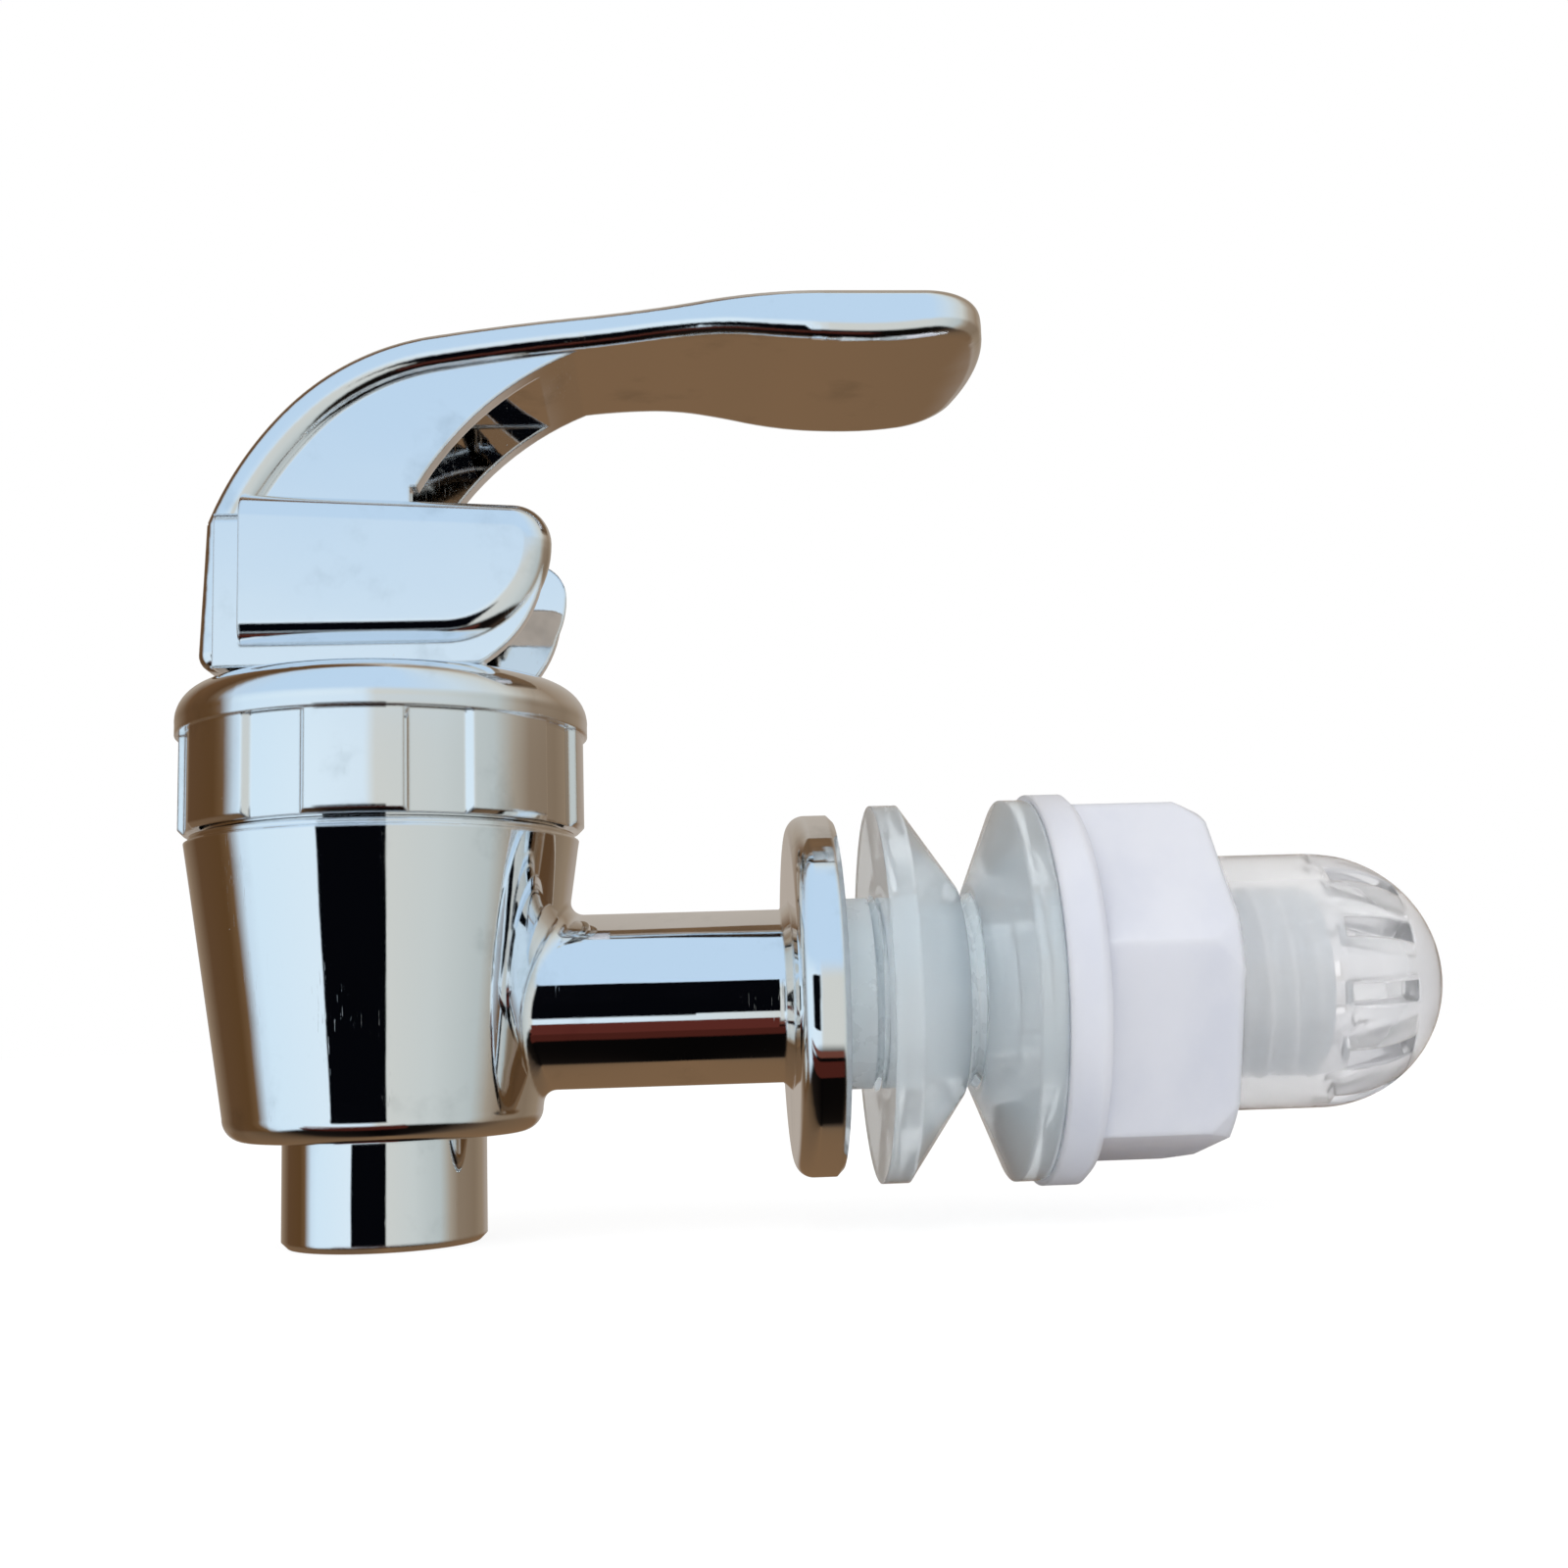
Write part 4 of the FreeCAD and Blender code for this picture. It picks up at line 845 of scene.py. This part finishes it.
class Studio:
    """Pale floor, soft light, the room that metal mirrors, and the camera."""

    CARDS = (
        Card("dark_card", "#05060A", left=-118.0, right=-11.0, low=-62.0, high=32.0, distance=152.0),
        Card("red_card_upper", "#6A4036", left=-220.0, right=30.0, low=-121.0, high=-104.0, distance=152.0),
        Card("red_card_lower", "#48201A", left=-260.0, right=40.0, low=-190.0, high=-132.0, distance=152.0),
        Card("tube_dark_card", "#05060A", left=-26.0, right=-4.6, low=-3.6, high=3.4, distance=13.0,
             widest=0.15),
        Card("tube_red_card", "#5A2A24", left=-26.0, right=-4.6, low=-8.6, high=-5.3, distance=13.0,
             widest=0.15))
    LAMPS = (Lamp("soft_sky", (-0.35, -0.45, 0.75), size=0.9, watts=4.0),
             Lamp("soft_side", (0.6, -0.5, 0.25), size=0.8, watts=1.2),
             Lamp("soft_front", (0.05, -0.6, 0.02), size=0.6, watts=0.8))
    lamp_aim = Vector((0.0, 0.0, 0.01))
    camera_place = Vector((-12.4, -146.8, -2.5)) * MM
    camera_right = Vector((0.998, -0.0549, -0.0307))
    camera_forward = Vector((0.0586, 0.989, 0.1358))
    lens_mm = 40.5
    sensor_mm = 36.0
    floor_gap_mm = 0.05
    floor_half = 3.0
    floor_glow = 0.88
    floor_colour = "#F4F4F4"
    floor_shade = "#808080"
    clip_start = 0.001
    clip_end = 20.0
    white = linear("#FFFFFF")

    @staticmethod
    def new_tree(owner: bpy.types.World | bpy.types.Material) -> bpy.types.NodeTree:
        """Give a world or a material an empty node tree and return it."""
        owner.use_nodes = True
        owner.node_tree.nodes.clear()
        return owner.node_tree

    @staticmethod
    def add_seen(tree: bpy.types.NodeTree) -> bpy.types.NodeSocket:
        """Add a value of 1 for what the eye meets, through clear plastic too."""
        ray = add_node(tree, "ShaderNodeLightPath")
        return add_sum(tree, ray.outputs["Is Camera Ray"], ray.outputs["Is Transmission Ray"], "MAXIMUM")

    def make_room(self) -> None:
        """Make the world: white to the eye and through glass, the room's tones in mirrors."""
        palette = RoomTones()
        world = bpy.data.worlds.new("soft_room")
        bpy.context.scene.world = world
        tree = self.new_tree(world)
        way = add_node(tree, "ShaderNodeTexCoord").outputs["Generated"]
        parts = add_node(tree, "ShaderNodeSeparateXYZ", links={0: way})
        back = add_sum(tree, parts.outputs[1], -1.0, "MULTIPLY")
        bearing = add_sum(tree, parts.outputs[0], back, "ARCTAN2")
        bearing = add_node(tree, "ShaderNodeMapRange", {"From Min": -math.pi, "From Max": math.pi},
                           {"Value": bearing}).outputs[0]
        height = add_node(tree, "ShaderNodeMath", {"operation": "ARCSINE"}, {0: parts.outputs[2]}).outputs[0]
        level, above, below = (
            add_ramp(tree, bearing, [((angle + 180) / 360, colour) for angle, colour in row])
            for row in (palette.level, palette.above, palette.below))
        upper = add_steps(tree, height, *map(math.radians, palette.upper_fade))
        behind = add_sum(tree, parts.outputs[1], 0.0, "MAXIMUM")
        dipped = add_sum(tree, height, add_sum(tree, behind, palette.dip, "MULTIPLY"), "SUBTRACT")
        lower = add_steps(tree, dipped, *map(math.radians, palette.lower_fade))
        room = level
        for share, tone in ((upper, above), (lower, below)):
            links = {0: share, 6: room, 7: tone}
            room = add_node(tree, "ShaderNodeMix", {"data_type": "RGBA"}, links).outputs[2]
        mirrored = add_node(tree, "ShaderNodeBackground", links={"Color": room})
        matt = add_node(tree, "ShaderNodeBackground",
                        {"Color": self.white, "Strength": palette.matt_strength})
        white = add_node(tree, "ShaderNodeBackground", {"Color": self.white, "Strength": 1.0})
        glossy = add_node(tree, "ShaderNodeLightPath").outputs["Is Glossy Ray"]
        first = add_node(tree, "ShaderNodeMixShader",
                         links={0: glossy, 1: matt.outputs[0], 2: mirrored.outputs[0]})
        last = add_node(tree, "ShaderNodeMixShader",
                        links={0: self.add_seen(tree), 1: first.outputs[0], 2: white.outputs[0]})
        add_node(tree, "ShaderNodeOutputWorld", links={"Surface": last.outputs[0]})

    def hang_card(self, plan: Card) -> None:
        """Hang one card and leave it visible to mirrors alone."""
        Workshop.clear_selection()
        middle = Vector(((plan.left + plan.right) / 2, -plan.distance, (plan.low + plan.high) / 2)) * MM
        bpy.ops.mesh.primitive_plane_add(size=1.0, location=middle, rotation=(math.pi / 2, 0.0, 0.0))
        card = bpy.context.object
        card.name = plan.name
        card.scale = ((plan.right - plan.left) * MM, (plan.high - plan.low) * MM, 1.0)
        material = bpy.data.materials.new(plan.name)
        tree = self.new_tree(material)
        glow = add_node(tree, "ShaderNodeEmission", {"Color": linear(plan.colour), "Strength": 1.0})
        clear = add_node(tree, "ShaderNodeBsdfTransparent")
        way = add_node(tree, "ShaderNodeNewGeometry").outputs["Incoming"]
        side = add_node(tree, "ShaderNodeSeparateXYZ", links={0: way}).outputs[0]
        steep = add_node(tree, "ShaderNodeMath", {"operation": "ABSOLUTE"}, {0: side}).outputs[0]
        passed = add_sum(tree, steep, plan.widest, "GREATER_THAN")
        shown = add_node(tree, "ShaderNodeMixShader",
                         links={0: passed, 1: glow.outputs[0], 2: clear.outputs[0]})
        add_node(tree, "ShaderNodeOutputMaterial", links={"Surface": shown.outputs[0]})
        card.data.materials.append(material)
        card.visible_camera = card.visible_diffuse = card.visible_transmission = False
        card.visible_shadow = card.visible_volume_scatter = False
        card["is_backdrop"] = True

    def hang_lamp(self, plan: Lamp) -> None:
        """Hang one lamp that faces the tap and that mirrors don't show."""
        data = bpy.data.lights.new(plan.name, "AREA")
        data.size = plan.size
        data.energy = plan.watts
        lamp = bpy.data.objects.new(plan.name, data)
        bpy.context.scene.collection.objects.link(lamp)
        lamp.location = Vector(plan.place)
        lamp.rotation_euler = (self.lamp_aim - lamp.location).to_track_quat("-Z", "Y").to_euler()
        lamp.visible_glossy = False
        lamp.visible_camera = False

    def make_floor(self, lowest: float) -> None:
        """Lay the pale floor just under the spout."""
        Workshop.clear_selection()
        bpy.ops.mesh.primitive_plane_add(size=2 * self.floor_half,
                                         location=(0.0, 0.0, lowest - self.floor_gap_mm * MM))
        floor = bpy.context.object
        floor.name = "floor"
        material = bpy.data.materials.new("pale_floor")
        tree = self.new_tree(material)
        matt = add_node(tree, "ShaderNodeBsdfDiffuse", {"Color": linear(self.floor_colour)})
        faint = add_node(tree, "ShaderNodeBsdfDiffuse", {"Color": linear(self.floor_shade)})
        glow = add_node(tree, "ShaderNodeEmission", {"Color": self.white, "Strength": self.floor_glow})
        bright = add_node(tree, "ShaderNodeAddShader", links={0: faint.outputs[0], 1: glow.outputs[0]})
        both = add_node(tree, "ShaderNodeMixShader",
                        links={0: self.add_seen(tree), 1: matt.outputs[0], 2: bright.outputs[0]})
        add_node(tree, "ShaderNodeOutputMaterial", links={"Surface": both.outputs[0]})
        floor.data.materials.append(material)
        floor.visible_glossy = False
        floor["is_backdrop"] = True

    def make_camera(self) -> None:
        """Set the camera where the photograph was taken."""
        forward = self.camera_forward.normalized()
        right = (self.camera_right - forward * self.camera_right.dot(forward)).normalized()
        up = right.cross(forward)
        data = bpy.data.cameras.new("camera")
        data.lens = self.lens_mm
        data.sensor_width = self.sensor_mm
        data.clip_start = self.clip_start
        data.clip_end = self.clip_end
        camera = bpy.data.objects.new("camera", data)
        bpy.context.scene.collection.objects.link(camera)
        turn = Matrix((right, up, -forward)).transposed()
        camera.matrix_world = Matrix.Translation(self.camera_place) @ turn.to_4x4()
        bpy.context.scene.camera = camera

    def build(self, lowest: float) -> None:
        """Set up the whole studio.

        Args:
            lowest: the tap's lowest height in metres.
        """
        self.make_room()
        self.make_floor(lowest)
        for card in self.CARDS:
            self.hang_card(card)
        for lamp in self.LAMPS:
            self.hang_lamp(lamp)
        self.make_camera()
        bpy.context.scene.view_settings.view_transform = "Standard"


def main() -> None:
    """Load the frame, build and dress every group, and set up the studio under the frame's lowest point."""
    logging.basicConfig(level=logging.INFO, format="%(name)s: %(message)s")
    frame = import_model()
    cad_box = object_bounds()
    nodes = frame["nodes"]
    for group in (ChromeShell, ValveTrim, ReturnSpring, ThreadedShank, ClampSet, Strainer):
        group(nodes).build()
    Studio().build(cad_box[0].z)


if __name__ == "__main__":
    main()
